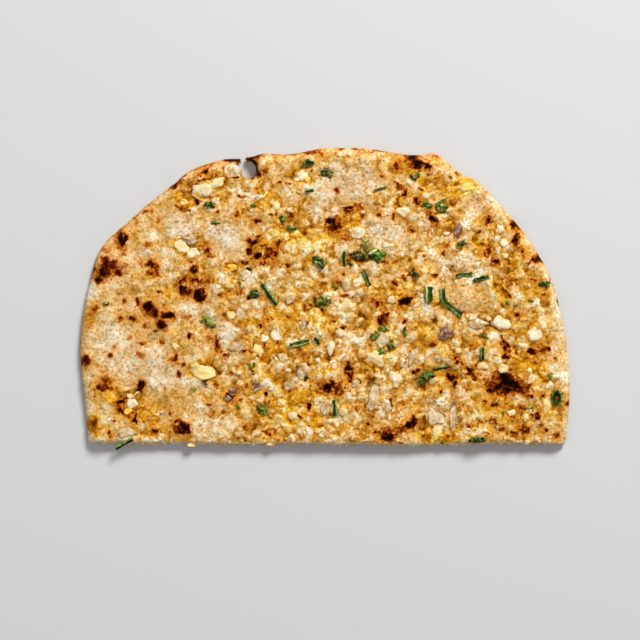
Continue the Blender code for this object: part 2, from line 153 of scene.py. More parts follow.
def line_distance(x, y, places):
    """The distance from each point to a line through these places."""
    best = np.full(np.shape(x), 1e9)
    for (ax, ay), (bx, by) in zip(places, places[1:]):
        length = (bx - ax) ** 2 + (by - ay) ** 2
        share = np.clip(((x - ax) * (bx - ax) + (y - ay) * (by - ay)) / length, 0, 1)
        best = np.minimum(best, np.hypot(x - ax - share * (bx - ax), y - ay - share * (by - ay)))
    return best


def tear_distance(x, y):
    """How far outside the torn hole a point lies."""
    inside = np.zeros(np.shape(x), bool)
    closed = [*TEAR, TEAR[0]]
    for (ax, ay), (bx, by) in zip(closed, closed[1:]):
        if ay != by:
            inside ^= ((ay > y) != (by > y)) & (x < ax + (y - ay) * (bx - ax) / (by - ay))
    return np.where(inside, -1, 1) * line_distance(x, y, closed)


def inside_distance(x, y):
    """How far inside the whole outline a point lies."""
    return np.minimum(np.minimum(rim_distance(x, y), cut_distance(x, y)), tear_distance(x, y))


def inwards(x, y):
    """How the distance from the outline grows along X and along Y."""
    step = 0.05
    slope_x = inside_distance(x + step, y) - inside_distance(x - step, y)
    slope_y = inside_distance(x, y + step) - inside_distance(x, y - step)
    return slope_x / (2 * step), slope_y / (2 * step)


def points_of(made):
    points = np.empty(len(made.data.vertices) * 3)
    made.data.vertices.foreach_get("co", points)
    return points.reshape(-1, 3)


def put_points(made, points):
    made.data.vertices.foreach_set("co", points.ravel())


def cut_out(name, cell):
    """A grid of square cells cut to the bread's outline, with its edge selected."""
    low, high = np.array(GRID_LOW), np.array(GRID_HIGH)
    columns, rows = ((high - low) / cell).astype(int)
    bpy.ops.mesh.primitive_grid_add(x_subdivisions=columns, y_subdivisions=rows, size=2)
    made = bpy.context.object
    made.name = made.data.name = name
    points = points_of(made)
    points[:, :2] = low + (points[:, :2] + 1) / 2 * (high - low)
    put_points(made, points)
    inside = inside_distance(points[:, 0], points[:, 1]) > 0
    corners = np.empty(len(made.data.polygons) * 4, int)
    made.data.polygons.foreach_get("vertices", corners)
    outside = inside[corners].reshape(-1, 4).sum(1) < 3
    bpy.ops.object.mode_set(mode="EDIT")
    bpy.ops.mesh.select_mode(type="FACE")
    bpy.ops.mesh.select_all(action="DESELECT")
    bpy.ops.object.mode_set(mode="OBJECT")
    made.data.polygons.foreach_set("select", outside)
    bpy.ops.object.mode_set(mode="EDIT")
    bpy.ops.mesh.delete(type="FACE")
    bpy.ops.mesh.select_all(action="SELECT")
    bpy.ops.mesh.region_to_loop()
    bpy.ops.object.mode_set(mode="OBJECT")
    edge = np.empty(len(made.data.vertices), bool)
    made.data.vertices.foreach_get("select", edge)
    points = points_of(made)
    for _ in range(3):
        x, y = points[edge, 0], points[edge, 1]
        slope_x, slope_y = inwards(x, y)
        share = inside_distance(x, y) / np.maximum(slope_x**2 + slope_y**2, 0.3)
        points[edge, 0] -= share * slope_x
        points[edge, 1] -= share * slope_y
    put_points(made, points)
    return made


def open_at(x, y):
    """1 at the cut over the filling, and 0 at the rim, where the two doughs meet."""
    behind_rim = smooth_step(POCKET_INSET - 1.5, POCKET_INSET + 1.5, rim_distance(x, y))
    return behind_rim * smooth_step(1.2, 0.6, np.abs(cut_distance(x, y)))


def pocket_wave(x, y):
    """How the filling's middle rises and falls."""
    return 0.4 * np.array([noise.noise(Vector((a / 30, b / 40, 9.0))) for a, b in zip(x, y)])


def turn_edge(made, goal, steps, lip, crumble):
    """Extrudes the selected edge to the heights that goal gives, and then inwards to make a lip."""
    for step in range(steps + 1):
        before = len(made.data.vertices)
        bpy.ops.object.mode_set(mode="EDIT")
        bpy.ops.mesh.select_mode(type="EDGE")
        bpy.ops.mesh.extrude_region_move()
        bpy.ops.object.mode_set(mode="OBJECT")
        points = points_of(made)
        x, y, z = points[before:].T.copy()
        if step == 0:
            at_cut = open_at(x, y)
            level = goal(x, y, at_cut)
            slope_x, slope_y = inwards(x, y)
        if step < steps:
            points[before:, 2] += (level - z) / (steps - step)
            points[before:, 1] += at_cut * crumble * ripples(x, 3 * z, 0.9, 20 + step)
        else:
            points[before:, 0] += lip * slope_x * (1 - at_cut)
            points[before:, 1] += lip * (slope_y * (1 - at_cut) + 2 * at_cut)
        put_points(made, points)


def carried_down(made, values):
    """Repeats the values of the first points at the points that were extruded from them."""
    full = np.zeros(len(made.data.vertices))
    full[: len(values)] = values
    edges = np.empty(len(made.data.edges) * 2, int)
    made.data.edges.foreach_get("vertices", edges)
    low, high = np.sort(edges.reshape(-1, 2), axis=1).T
    low, high = low[high >= len(values)], high[high >= len(values)]
    filled = np.zeros(len(full), bool)
    for k in np.argsort(high, kind="stable"):
        if not filled[high[k]]:
            full[high[k]] = full[low[k]]
            filled[high[k]] = True
    return full


def paint(made, **masks):
    """Stores each mask as a value at each of the mesh's points."""
    for name, values in masks.items():
        layer = made.data.attributes.new(name, "FLOAT", "POINT")
        layer.data.foreach_set("value", np.asarray(values, np.float32))


def to_metres(made):
    put_points(made, points_of(made) * 0.001)
    made.data.update()
    made.data.shade_smooth()


def rgb(red, green, blue):
    """A colour as the eye reads it, from 0 to 255, as the shader needs it."""

    def linear(value):
        value /= 255
        return value / 12.92 if value <= 0.04045 else ((value + 0.055) / 1.055) ** 2.4

    return (linear(red), linear(green), linear(blue), 1.0)


def add_node(tree, kind, inputs=(), **settings):
    """A shader node with its settings, and its inputs as values or as links."""
    made = tree.nodes.new(kind)
    for name, value in settings.items():
        setattr(made, name, value)
    for socket, value in dict(inputs).items():
        if isinstance(value, bpy.types.NodeSocket):
            tree.links.new(value, made.inputs[socket])
        else:
            made.inputs[socket].default_value = value
    return made


def ramp(tree, value, *stops):
    """A colour ramp through stops, each a place and a colour or a grey."""
    made = add_node(tree, "ShaderNodeValToRGB", {"Fac": value})
    elements = made.color_ramp.elements
    while len(elements) < len(stops):
        elements.new(0.5)
    for element, (place, colour) in zip(elements, stops):
        element.position = place
        element.color = colour if isinstance(colour, tuple) else (colour, colour, colour, 1.0)
    return made.outputs["Color"]


def mix(tree, share, first, second):
    inputs = {0: share, 6: first, 7: second}
    return add_node(tree, "ShaderNodeMix", inputs, data_type="RGBA").outputs[2]


def maths(tree, operation, first, second=0.0, clamp=False):
    inputs = {0: first, 1: second}
    return add_node(tree, "ShaderNodeMath", inputs, operation=operation, use_clamp=clamp).outputs[0]


def shifted(tree, value, by, amount):
    """A value shifted up and down by noise around 0.5."""
    shift = maths(tree, "MULTIPLY", maths(tree, "SUBTRACT", by, 0.5), amount)
    return maths(tree, "ADD", value, shift)


def cloud(tree, place, size, detail=3.0, roughness=0.55):
    """Noise with swells of this size in mm, around 0.5."""
    inputs = {"Vector": place, "Scale": 1000 / size, "Detail": detail, "Roughness": roughness}
    return add_node(tree, "ShaderNodeTexNoise", inputs).outputs["Fac"]


def vein(tree, place, size, width):
    """Thin lines that wander between cells of this size in mm: 1 on each line, and 0 beside it."""
    away = maths(tree, "SUBTRACT", cloud(tree, place, size, detail=2.0), 0.5)
    away = maths(tree, "DIVIDE", maths(tree, "ABSOLUTE", away), width)
    return maths(tree, "SUBTRACT", 1.0, away, clamp=True)


def mask(tree, name):
    return add_node(tree, "ShaderNodeAttribute", attribute_name=name).outputs["Fac"]


def new_material(name, roughness, subsurface=0.0):
    """A Principled material, its tree, its shader and its object coordinates."""
    material = bpy.data.materials.new(name)
    material.use_nodes = True
    tree = material.node_tree
    shader = tree.nodes["Principled BSDF"]
    shader.inputs["Roughness"].default_value = roughness
    shader.inputs["Subsurface Weight"].default_value = subsurface
    shader.inputs["Subsurface Radius"].default_value = (0.003, 0.0018, 0.0008)
    shader.inputs["Subsurface Scale"].default_value = 0.5
    shader.inputs["Specular IOR Level"].default_value = 0.02
    return material, tree, shader, add_node(tree, "ShaderNodeTexCoord").outputs["Object"]


def make_baking():
    """The group that bakes a colour: tan, orange and brown, and black in the end, in ragged spots."""
    group = bpy.data.node_groups.new("Baking", "ShaderNodeTree")
    for name, kind, way in (
        ("Colour", "NodeSocketColor", "INPUT"),
        ("Baked", "NodeSocketFloat", "INPUT"),
        ("Crumbly", "NodeSocketFloat", "INPUT"),
        ("Place", "NodeSocketVector", "INPUT"),
        ("Result", "NodeSocketColor", "OUTPUT"),
        ("Char", "NodeSocketFloat", "OUTPUT"),
    ):
        group.interface.new_socket(name, in_out=way, socket_type=kind)
    start = group.nodes.new("NodeGroupInput").outputs
    present = maths(group, "MULTIPLY", start["Baked"], 4.0, clamp=True)
    ragged = cloud(group, start["Place"], 3.0, detail=4.0, roughness=0.62)
    grainy = cloud(group, start["Place"], 1.3, detail=3.0)
    shift = maths(group, "MULTIPLY", maths(group, "SUBTRACT", ragged, 0.5), 0.8)
    grain = maths(group, "MULTIPLY", maths(group, "SUBTRACT", grainy, 0.5), 0.75)
    grain = maths(group, "MULTIPLY", grain, maths(group, "ADD", start["Crumbly"], 0.4))
    shift = maths(group, "MULTIPLY", maths(group, "ADD", shift, grain), present)
    level = maths(group, "ADD", start["Baked"], shift, clamp=True)
    cover = ramp(group, level, (0.06, 0.0), (0.22, 0.6), (0.38, 0.95), (0.5, 1.0))
    burnt = ramp(
        group,
        level,
        (0.10, rgb(244, 184, 92)),
        (0.26, rgb(228, 146, 34)),
        (0.42, rgb(184, 96, 8)),
        (0.56, rgb(120, 42, 0)),
        (0.70, rgb(64, 15, 0)),
        (0.86, rgb(18, 4, 0)),
    )
    end = group.nodes.new("NodeGroupOutput").inputs
    group.links.new(mix(group, cover, start["Colour"], burnt), end["Result"])
    group.links.new(level, end["Char"])
    return group


BAKING = make_baking()


def bake(tree, colour, baked, place):
    """The colour after baking, and how black it is."""
    made = tree.nodes.new("ShaderNodeGroup")
    made.node_tree = BAKING
    inputs = {"Colour": colour, "Baked": baked, "Crumbly": mask(tree, "crumbly"), "Place": place}
    for socket, value in inputs.items():
        tree.links.new(value, made.inputs[socket])
    return made.outputs["Result"], made.outputs["Char"]


def add_bump(tree, shader, height, strength, distance):
    """Roughens a material by this height, as deep as the distance in metres."""
    bump = {"Height": height, "Strength": strength, "Distance": distance}
    bump = add_node(tree, "ShaderNodeBump", bump)
    tree.links.new(bump.outputs["Normal"], shader.inputs["Normal"])


def make_dough():
    """Baked dough: creamy where it stands up, golden and wet with fat in between, floury in parts."""
    material, tree, shader, place = new_material("naan_dough", 0.5, subsurface=0.05)
    fine = cloud(tree, place, 1.6, detail=3.0, roughness=0.62)
    middle = cloud(tree, place, 3.0, detail=4.0, roughness=0.6)
    wrinkles = maths(tree, "MAXIMUM", vein(tree, place, 3.6, 0.03), vein(tree, place, 1.9, 0.035))
    pitted = maths(tree, "MINIMUM", middle, 0.56)
    tone = shifted(tree, shifted(tree, mask(tree, "tone"), pitted, 0.8), fine, 0.08)
    dough = ramp(
        tree,
        tone,
        (0.00, rgb(104, 46, 0)),
        (0.12, rgb(152, 86, 4)),
        (0.30, rgb(196, 134, 34)),
        (0.50, rgb(224, 170, 86)),
        (0.70, rgb(246, 202, 136)),
        (0.88, rgb(255, 224, 172)),
        (1.00, rgb(255, 243, 214)),
    )
    gilt = ramp(
        tree,
        tone,
        (0.00, rgb(104, 42, 0)),
        (0.15, rgb(168, 92, 0)),
        (0.35, rgb(218, 140, 6)),
        (0.55, rgb(243, 174, 24)),
        (0.75, rgb(255, 199, 60)),
        (1.00, rgb(255, 234, 152)),
    )
    flour = ramp(
        tree,
        tone,
        (0.00, rgb(126, 74, 12)),
        (0.25, rgb(190, 140, 70)),
        (0.50, rgb(226, 188, 139)),
        (0.75, rgb(247, 219, 183)),
        (1.00, rgb(255, 243, 222)),
    )
    gilding = shifted(tree, mask(tree, "golden"), cloud(tree, place, 4.0), 0.5)
    powder = shifted(tree, mask(tree, "floury"), cloud(tree, place, 4.5, detail=5.0), 1.1)
    colour = mix(tree, ramp(tree, powder, (0.25, 0.0), (0.85, 0.85)), dough, flour)
    colour = mix(tree, ramp(tree, gilding, (0.15, 0.0), (0.85, 0.9)), colour, gilt)

    dots = {"Vector": place, "Scale": 1000 / 2.1, "Randomness": 1.0}
    dots = add_node(tree, "ShaderNodeTexVoronoi", dots, feature="F1")
    draw = add_node(tree, "ShaderNodeSeparateColor", {"Color": dots.outputs["Color"]}).outputs[1]
    size = maths(tree, "MULTIPLY", maths(tree, "SUBTRACT", draw, 0.8, clamp=True), 1.1)
    dot = maths(tree, "LESS_THAN", shifted(tree, dots.outputs["Distance"], fine, 0.5), size)
    colour = mix(tree, maths(tree, "MULTIPLY", dot, 0.7), colour, rgb(126, 70, 20))
    colour = mix(tree, maths(tree, "MULTIPLY", wrinkles, 0.22), colour, rgb(158, 92, 20))

    colour, char = bake(tree, colour, mask(tree, "baked"), place)
    shade = ramp(tree, fine, (0.28, (0.38, 0.29, 0.17, 1.0)), (0.44, (0.82, 0.80, 0.74, 1.0)), (0.53, 1.0))
    shaded = {0: 1.0, 6: colour, 7: shade}
    shaded = add_node(tree, "ShaderNodeMix", shaded, data_type="RGBA", blend_type="MULTIPLY")
    tree.links.new(shaded.outputs[2], shader.inputs["Base Color"])

    gloss = maths(tree, "MULTIPLY", gilding, 0.26, clamp=True)
    gloss = maths(tree, "ADD", gloss, maths(tree, "MULTIPLY", char, 0.24))
    dull = maths(tree, "MULTIPLY", fine, 0.3)
    rough = maths(tree, "SUBTRACT", maths(tree, "ADD", 0.42, dull), gloss, clamp=True)
    tree.links.new(rough, shader.inputs["Roughness"])

    height = maths(tree, "ADD", maths(tree, "MULTIPLY", fine, 0.7), maths(tree, "MULTIPLY", middle, 0.6))
    height = maths(tree, "SUBTRACT", height, maths(tree, "MULTIPLY", wrinkles, 0.25))
    add_bump(tree, shader, height, 0.8, 0.0009)
    return material


DOUGH = make_dough()
BLOTCHES = ((9.0, 0.7), (3.5, 0.4))


def lower_goal(x, y, at_cut):
    return at_cut * (POCKET_FLOOR + pocket_wave(x, y)) + (1 - at_cut) * (RIM_SEAM + 0.1)


lower = cut_out("lower_dough", LOWER_CELL)
points = points_of(lower)
x, y = points[:, 0], points[:, 1]
edge_gap = np.minimum(rim_distance(x, y), tear_distance(x, y))
points[:, 2] = (RIM_SEAM - RIM_EDGE / 2) * (1 - swell(edge_gap, RIM_SWELL_BOTTOM))
points[:, 2] += np.clip(0.12 * ripples(x, y, 6.0, 41) - 0.02, 0, 1)
put_points(lower, points)
turn_edge(lower, lower_goal, steps=3, lip=2.5, crumble=0.2)
lower.data.flip_normals()
blotches = sum(share * ripples(x, y, size, 42) for size, share in BLOTCHES)
paint(
    lower,
    baked=carried_down(lower, 0.75 * smooth_step(0.1, 0.75, blotches)),
    tone=carried_down(lower, 0.55 + 0.12 * ripples(x, y, 5.0, 43)),
    golden=carried_down(lower, 0.3 * smooth_step(0.0, 0.6, ripples(x, y, 18.0, 44))),
    floury=carried_down(lower, 0.8 * smooth_step(-0.1, 0.5, ripples(x, y, 24.0, 45))),
)
to_metres(lower)
lower.data.materials.append(DOUGH)
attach(lower, "root")
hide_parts("bread")

# The filling.
# Grated cheese, curds and chopped onion, which have melted together in the pocket between the
# doughs. It shows along the cut, where the knife has left a torn, crumbly face.


def make_cheese():
    """Melted cheese with curds in it, golden where fat has gathered."""
    material, tree, shader, place = new_material("melted_cheese", 0.38, subsurface=0.2)
    curds = {"Vector": place, "Scale": 1000 / 2.6, "Randomness": 1.0}
    curds = add_node(tree, "ShaderNodeTexVoronoi", curds, feature="SMOOTH_F1")
    fine = cloud(tree, place, 0.9, detail=4.0, roughness=0.65)
    tone = shifted(tree, maths(tree, "SUBTRACT", 1.05, curds.outputs["Distance"]), fine, 0.7)
    colour = ramp(
        tree,
        tone,
        (0.15, rgb(160, 96, 26)),
        (0.40, rgb(219, 164, 74)),
        (0.62, rgb(241, 208, 140)),
        (0.85, rgb(252, 240, 208)),
    )
    tree.links.new(colour, shader.inputs["Base Color"])
    add_bump(tree, shader, tone, 0.9, 0.0009)
    return material


CHEESE = make_cheese()
for slot in bpy.data.objects["filling"].material_slots:
    slot.material = CHEESE

# The curds in the cut.
# Broken grains of the filling's cheese, which the knife has torn loose along the cut. They cling
# to its face between the two doughs, and a few stand a little out of it.


def shape_of(made):
    """The points and faces of a modelled shape, which is then removed, to be copied."""
    points = points_of(made)
    faces = [tuple(face.vertices) for face in made.data.polygons]
    mesh = made.data
    bpy.data.objects.remove(made)
    bpy.data.meshes.remove(mesh)
    return points, faces


def join_copies(name, faces, bodies, material, slot, node="bread", **masks):
    """Makes one piece of many bodies that share the same faces."""
    each = len(bodies[0])
    shifts = (k * each for k in range(len(bodies)))
    all_faces = [[v + shift for v in face] for shift in shifts for face in faces]
    mesh = bpy.data.meshes.new(name)
    mesh.from_pydata(np.concatenate(bodies).tolist(), [], all_faces)
    made = bpy.data.objects.new(name, mesh)
    bpy.context.scene.collection.objects.link(made)
    paint(made, **{mask_name: np.concatenate(values) for mask_name, values in masks.items()})
    to_metres(made)
    made.data.materials.append(material)
    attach(made, "root")
    if node:
        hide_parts(node)


def broken(points, draw, cuts, bumps):
    """A ball made angular and uneven, as a broken piece of curd is."""
    points = points.copy()
    for _ in range(cuts):
        away = draw.normal(size=3)
        away /= np.linalg.norm(away)
        over = np.maximum(points @ away - draw.uniform(0.5, 0.85), 0)
        points -= 0.85 * over[:, None] * away
    shift = Vector(draw.uniform(0, 90, 3))
    swelling = np.array([noise.noise(1.6 * Vector(p) + shift) for p in points])
    grain = np.array([noise.noise(4.5 * Vector(p) + shift) for p in points])
    return points * (1 + bumps * swelling + 0.4 * bumps * grain)[:, None]


def placed(points, x, y, z, turn, *sizes):
    """A shape at its place, turned about the vertical, with its half sizes in mm."""
    a = math.radians(turn)
    points = points * np.array(sizes)
    u, v = points[:, 0], points[:, 1]
    east = x + u * math.cos(a) - v * math.sin(a)
    north = y + u * math.sin(a) + v * math.cos(a)
    return np.stack((east, north, z + points[:, 2]), axis=1)


CUT_CURDS = 260
CUT_CURDS_REACH = 118
CUT_CURDS_HEIGHTS = (2.0, 4.4)
bpy.ops.mesh.primitive_ico_sphere_add(subdivisions=2, radius=1)
grain, grain_faces = shape_of(bpy.context.object)
draw = np.random.default_rng(29)
bodies = []
for _ in range(CUT_CURDS):
    x, z = draw.uniform(-CUT_CURDS_REACH, CUT_CURDS_REACH), draw.uniform(*CUT_CURDS_HEIGHTS)
    y = np.interp(x, cut_places, cut_line) + draw.uniform(-0.3, 0.5)
    body = broken(grain, draw, cuts=5, bumps=0.5)
    sizes = draw.uniform(0.5, 1.2) * draw.uniform((0.8, 0.7, 0.7), (1.5, 1.0, 1.0))
    bodies.append(placed(body, x, y, z, draw.uniform(0, 360), *sizes))
join_copies("cut_curds", grain_faces, bodies, CHEESE, "cheese", node=None)

# The upper dough.
# A second thin round over the filling. The heat has drawn it down between the curds, so that it
# shows every crumb of cheese and sliver of onion, and the oven wall has charred what stood up.
THICKNESS = 6.6
DOUGH_SWELLS = ((24, 0.85), (9, 1.05))
RIM_SWELL_TOP = 7.0
TEAR_SWELL = 2.6
CUT_SWELL = 4.0
CUT_PRESSED = 0.86
POCKET_ROOF = 4.75
UPPER_CELL = 0.62
# Blisters: the place of each in pixels, and its radius and rise in mm.
BLISTERS = (
    (471, 297, 10.0, 1.5), (416, 161, 7.0, 1.2), (354, 230, 6.0, 0.8), (148, 308, 6.0, 0.8),
    (104, 270, 6.5, 0.9), (506, 381, 8.5, 0.9), (122, 240, 5.0, 0.8), (255, 248, 10.0, 0.7),
    (181, 428, 5.5, 0.6), (407, 427, 6.0, 0.7), (86, 361, 4.5, 0.6), (190, 240, 5.0, 0.9),
    (433, 222, 6.0, 0.6), (532, 260, 6.0, 0.6), (165, 317, 5.5, 0.7), (330, 386, 5.0, 0.5),
    (261, 164, 7.0, 1.5), (234, 170, 5.0, 0.8),
)  # fmt: skip
# Pinched folds: the two ends of each in pixels, and its half width and rise in mm.
FOLDS = (
    (423, 331, 455, 365, 3.4, 1.2),
    (404, 366, 434, 331, 2.8, 0.7),
    (486, 283, 516, 318, 3.2, 0.6),
    (222, 404, 262, 420, 2.6, 0.5),
)

# Charred spots: place, width and height in pixels, how far each is baked, and its turn in degrees.
SPOTS_LEFT = (
    (122, 239, 13, 17, 0.85), (124, 254, 4, 5, 0.5), (148, 244.5, 8, 6, 0.36),
    (150, 210, 9, 6, 0.3), (145, 211, 3, 4, 0.4), (158, 220, 6, 9, 0.3), (134, 219, 4, 4, 0.4),
    (174.5, 185, 7, 6, 0.8), (104, 262, 9, 9, 0.7), (113.5, 264.5, 9, 8, 0.75),
    (118.5, 273, 6, 7, 0.65), (105, 272, 13, 10, 0.85), (98.5, 280, 7, 9, 0.7), (92, 270, 4, 14, 0.4),
    (150, 264, 10, 9, 0.62), (157, 270, 5, 13, 0.62), (150, 273, 5, 6, 0.55), (194.5, 270, 8, 8, 0.95),
    (189, 262, 12, 4, 0.4), (183, 286.5, 9, 16, 1.25), (199.7, 295.5, 11, 13, 1.25),
    (189.5, 291, 8, 6, 0.5), (159, 291.5, 5, 4, 0.6), (95.6, 309, 6, 7, 0.7), (89.3, 323, 7, 13, 0.42),
    (124.5, 301, 4, 6, 0.7), (137, 301.5, 5, 7, 0.65), (148, 307, 13, 12, 0.95),
    (155, 314, 6, 8, 0.85), (131.5, 318, 8, 7, 0.75), (121, 319, 7, 6, 0.45), (168.5, 315.5, 13, 8, 1.15),
    (162, 324.5, 9, 7, 0.95), (146, 325, 6, 6, 0.6), (164, 304, 3, 5, 0.4), (183, 316, 5, 5, 0.4),
    (142.5, 342.5, 8, 5, 0.38), (142.5, 355, 7, 6, 0.42), (115, 345.5, 5, 4, 0.38),
    (110, 355.5, 7, 6, 0.6), (129.4, 337, 5, 4, 0.28), (137, 354, 2, 2, 0.8), (162.5, 341, 5, 9, 0.42),
    (189, 336, 5, 6, 0.75), (176, 357, 5, 8, 0.7), (171, 361, 6, 5, 0.45), (183.5, 365.5, 5, 6, 0.5),
    (178.5, 375, 5, 7, 0.72), (85.8, 361.3, 13, 12, 0.5), (87, 361, 5, 6, 0.25), (78.6, 362.8, 3, 4, 1.2),
    (103.5, 388, 14, 9, 0.72), (107, 380, 16, 8, 0.4), (141.5, 384.8, 7, 8, 1.25),
    (136.5, 392, 13, 2.5, 0.95, 42), (119.7, 402.5, 9, 5, 0.7), (134.8, 420, 4, 6, 1.0),
    (110.3, 434, 4, 7, 0.65), (180.8, 428, 16, 13, 0.85), (176, 422, 4, 5, 0.6), (188, 430, 5, 7, 0.6),
    (153.5, 431, 13, 8, 0.5), (170, 412, 5, 4, 0.45), (209.5, 404.5, 6, 4, 0.65),
    (215, 413, 4, 5, 0.45), (176.3, 443, 4, 2.5, 0.6), (114.5, 421, 4, 3, 0.45), (165, 388, 4, 5, 0.3),
    (189.5, 317, 4, 3, 0.35), (166, 331, 8, 4, 0.3), (120, 411, 5, 7, 0.6), (131, 410, 5, 10, 0.5),
    (107, 250, 9, 5, 0.3), (141, 262, 4, 9, 0.35), (128, 265, 5, 4, 0.3), (95, 395, 4, 10, 0.25),
)  # fmt: skip
SPOTS_TOP = (
    (204, 172, 12, 4, 0.8, 25), (212.8, 175.8, 7, 4, 0.65), (197.7, 202.5, 5, 6, 1.1),
    (186, 208.5, 18, 5, 0.6, 10), (192, 190, 3, 3, 0.8), (200, 181, 6, 3, 0.5), (187, 192, 4, 4, 0.6),
    (211, 197, 9, 4, 0.5, -25), (217, 212, 4, 6, 0.5), (236.8, 214, 6, 6, 0.5), (220, 200, 7, 4, 0.4),
    (257.5, 222, 14, 4, 0.8, -8), (272.5, 214.6, 8, 4, 0.5), (290.5, 216.5, 7, 8, 0.85),
    (281, 241, 6, 4, 0.4), (259, 236.3, 5, 4, 0.5), (239, 196, 3, 3, 0.6), (244, 197, 3, 2, 0.6),
    (258, 191, 8, 6, 0.35), (259, 175.5, 5, 5, 0.85), (265, 170, 6, 4, 0.5), (279, 183, 14, 3, 0.35),
    (254.4, 242.5, 8, 5, 0.8), (249.5, 252, 6, 7, 0.85), (258, 255, 9, 6, 1.05), (264, 246, 6, 7, 0.7),
    (270.7, 250, 5, 6, 0.7), (266.5, 257, 6, 4, 0.75), (276, 255, 5, 7, 0.5), (262, 263, 12, 4, 0.4),
    (278, 246, 7, 8, 0.42), (244, 262.5, 9, 3, 0.8, -25), (287, 266, 6, 4, 0.5), (249, 240, 6, 4, 0.6),
    (207, 250, 12, 9, 0.42), (211, 257, 7, 5, 0.5), (198, 281, 14, 6, 0.5), (205, 244, 5, 4, 0.5),
    (239, 291.5, 7, 6, 0.62), (229, 290.5, 5, 4, 0.4), (221, 296, 6, 6, 0.5), (209, 281, 9, 6, 0.35),
    (332, 221.5, 13, 7, 1.1, -20), (337.5, 227, 7, 5, 1.15), (348, 210, 10, 7, 0.72),
    (358, 207, 16, 9, 0.35), (355.5, 256, 10, 8, 1.25), (363, 258, 7, 5, 1.1), (337, 191, 9, 7, 0.4),
    (382, 176, 6, 5, 0.36), (366, 187, 4, 4, 0.3), (374.7, 193.5, 4, 5, 0.62), (339, 216, 4, 4, 0.4),
    (388, 196.5, 4, 3, 0.4), (380, 214.5, 5, 4, 0.5), (393.5, 217, 5, 8, 0.72), (332, 231, 14, 8, 0.35),
    (404, 215, 5, 4, 0.35), (411.5, 231, 8, 6, 0.45), (399.5, 186, 10, 7, 0.65, -40), (420, 189, 6, 4, 0.5),
    (405, 193.5, 4, 7, 0.75), (417, 201.5, 7, 8, 1.15), (428, 212.5, 5, 5, 0.5), (346, 240, 10, 10, 0.35),
    (432, 219, 8, 5, 0.75, -35), (437, 221, 5, 4, 0.5), (434, 230, 6, 6, 0.4), (450, 178, 5, 4, 0.42),
    (458, 173.5, 6, 5, 0.35), (437.6, 178, 5, 4, 0.5), (427, 166.5, 8, 6, 0.75), (429, 175, 4, 6, 0.4),
    (412, 157, 10, 6, 0.75), (416.5, 164, 12, 8, 0.95), (407, 154, 6, 3, 0.5), (397, 165, 6, 14, 0.4),
    (437, 156, 10, 3, 0.4), (446.5, 246, 6, 4, 0.42), (443, 252.5, 8, 6, 0.4), (428, 240, 8, 5, 0.3),
    (487, 221, 9, 8, 0.95), (479.5, 231.5, 7, 5, 0.6), (458, 228, 6, 6, 0.6), (457, 236, 9, 4, 0.45),
    (487, 254, 7, 7, 0.55), (495.5, 263, 9, 8, 0.8), (488, 249, 6, 6, 0.45), (512.5, 225, 7, 7, 0.65),
    (518.5, 224.5, 4, 7, 0.85, -40), (516, 239, 7, 11, 1.05, -20), (522, 250, 8, 8, 0.4),
    (534, 261, 13, 6, 0.9, 10), (540, 256.5, 5, 7, 0.95), (534.8, 280.5, 9, 4, 0.55), (527, 269, 6, 5, 0.35),
    (544.6, 295, 7, 6, 0.5), (560.5, 301.5, 2.5, 5, 0.9), (518, 280.5, 7, 4, 0.4), (546, 286, 4, 3, 0.5),
    (508, 279, 18, 6, 0.36), (551, 276, 3, 6, 0.5), (305, 152, 9, 4, 0.45), (316, 153, 10, 5, 0.4),
    (342, 148.5, 5, 3, 0.6), (355, 148.5, 4, 3, 0.6), (312, 171.5, 3, 2.5, 0.7), (291, 152, 8, 3, 0.4),
    (299, 199.5, 5, 4, 0.35), (289, 184, 10, 3, 0.4), (321.5, 154.5, 5, 4, 0.55), (376, 151.5, 14, 3, 0.35),
)  # fmt: skip
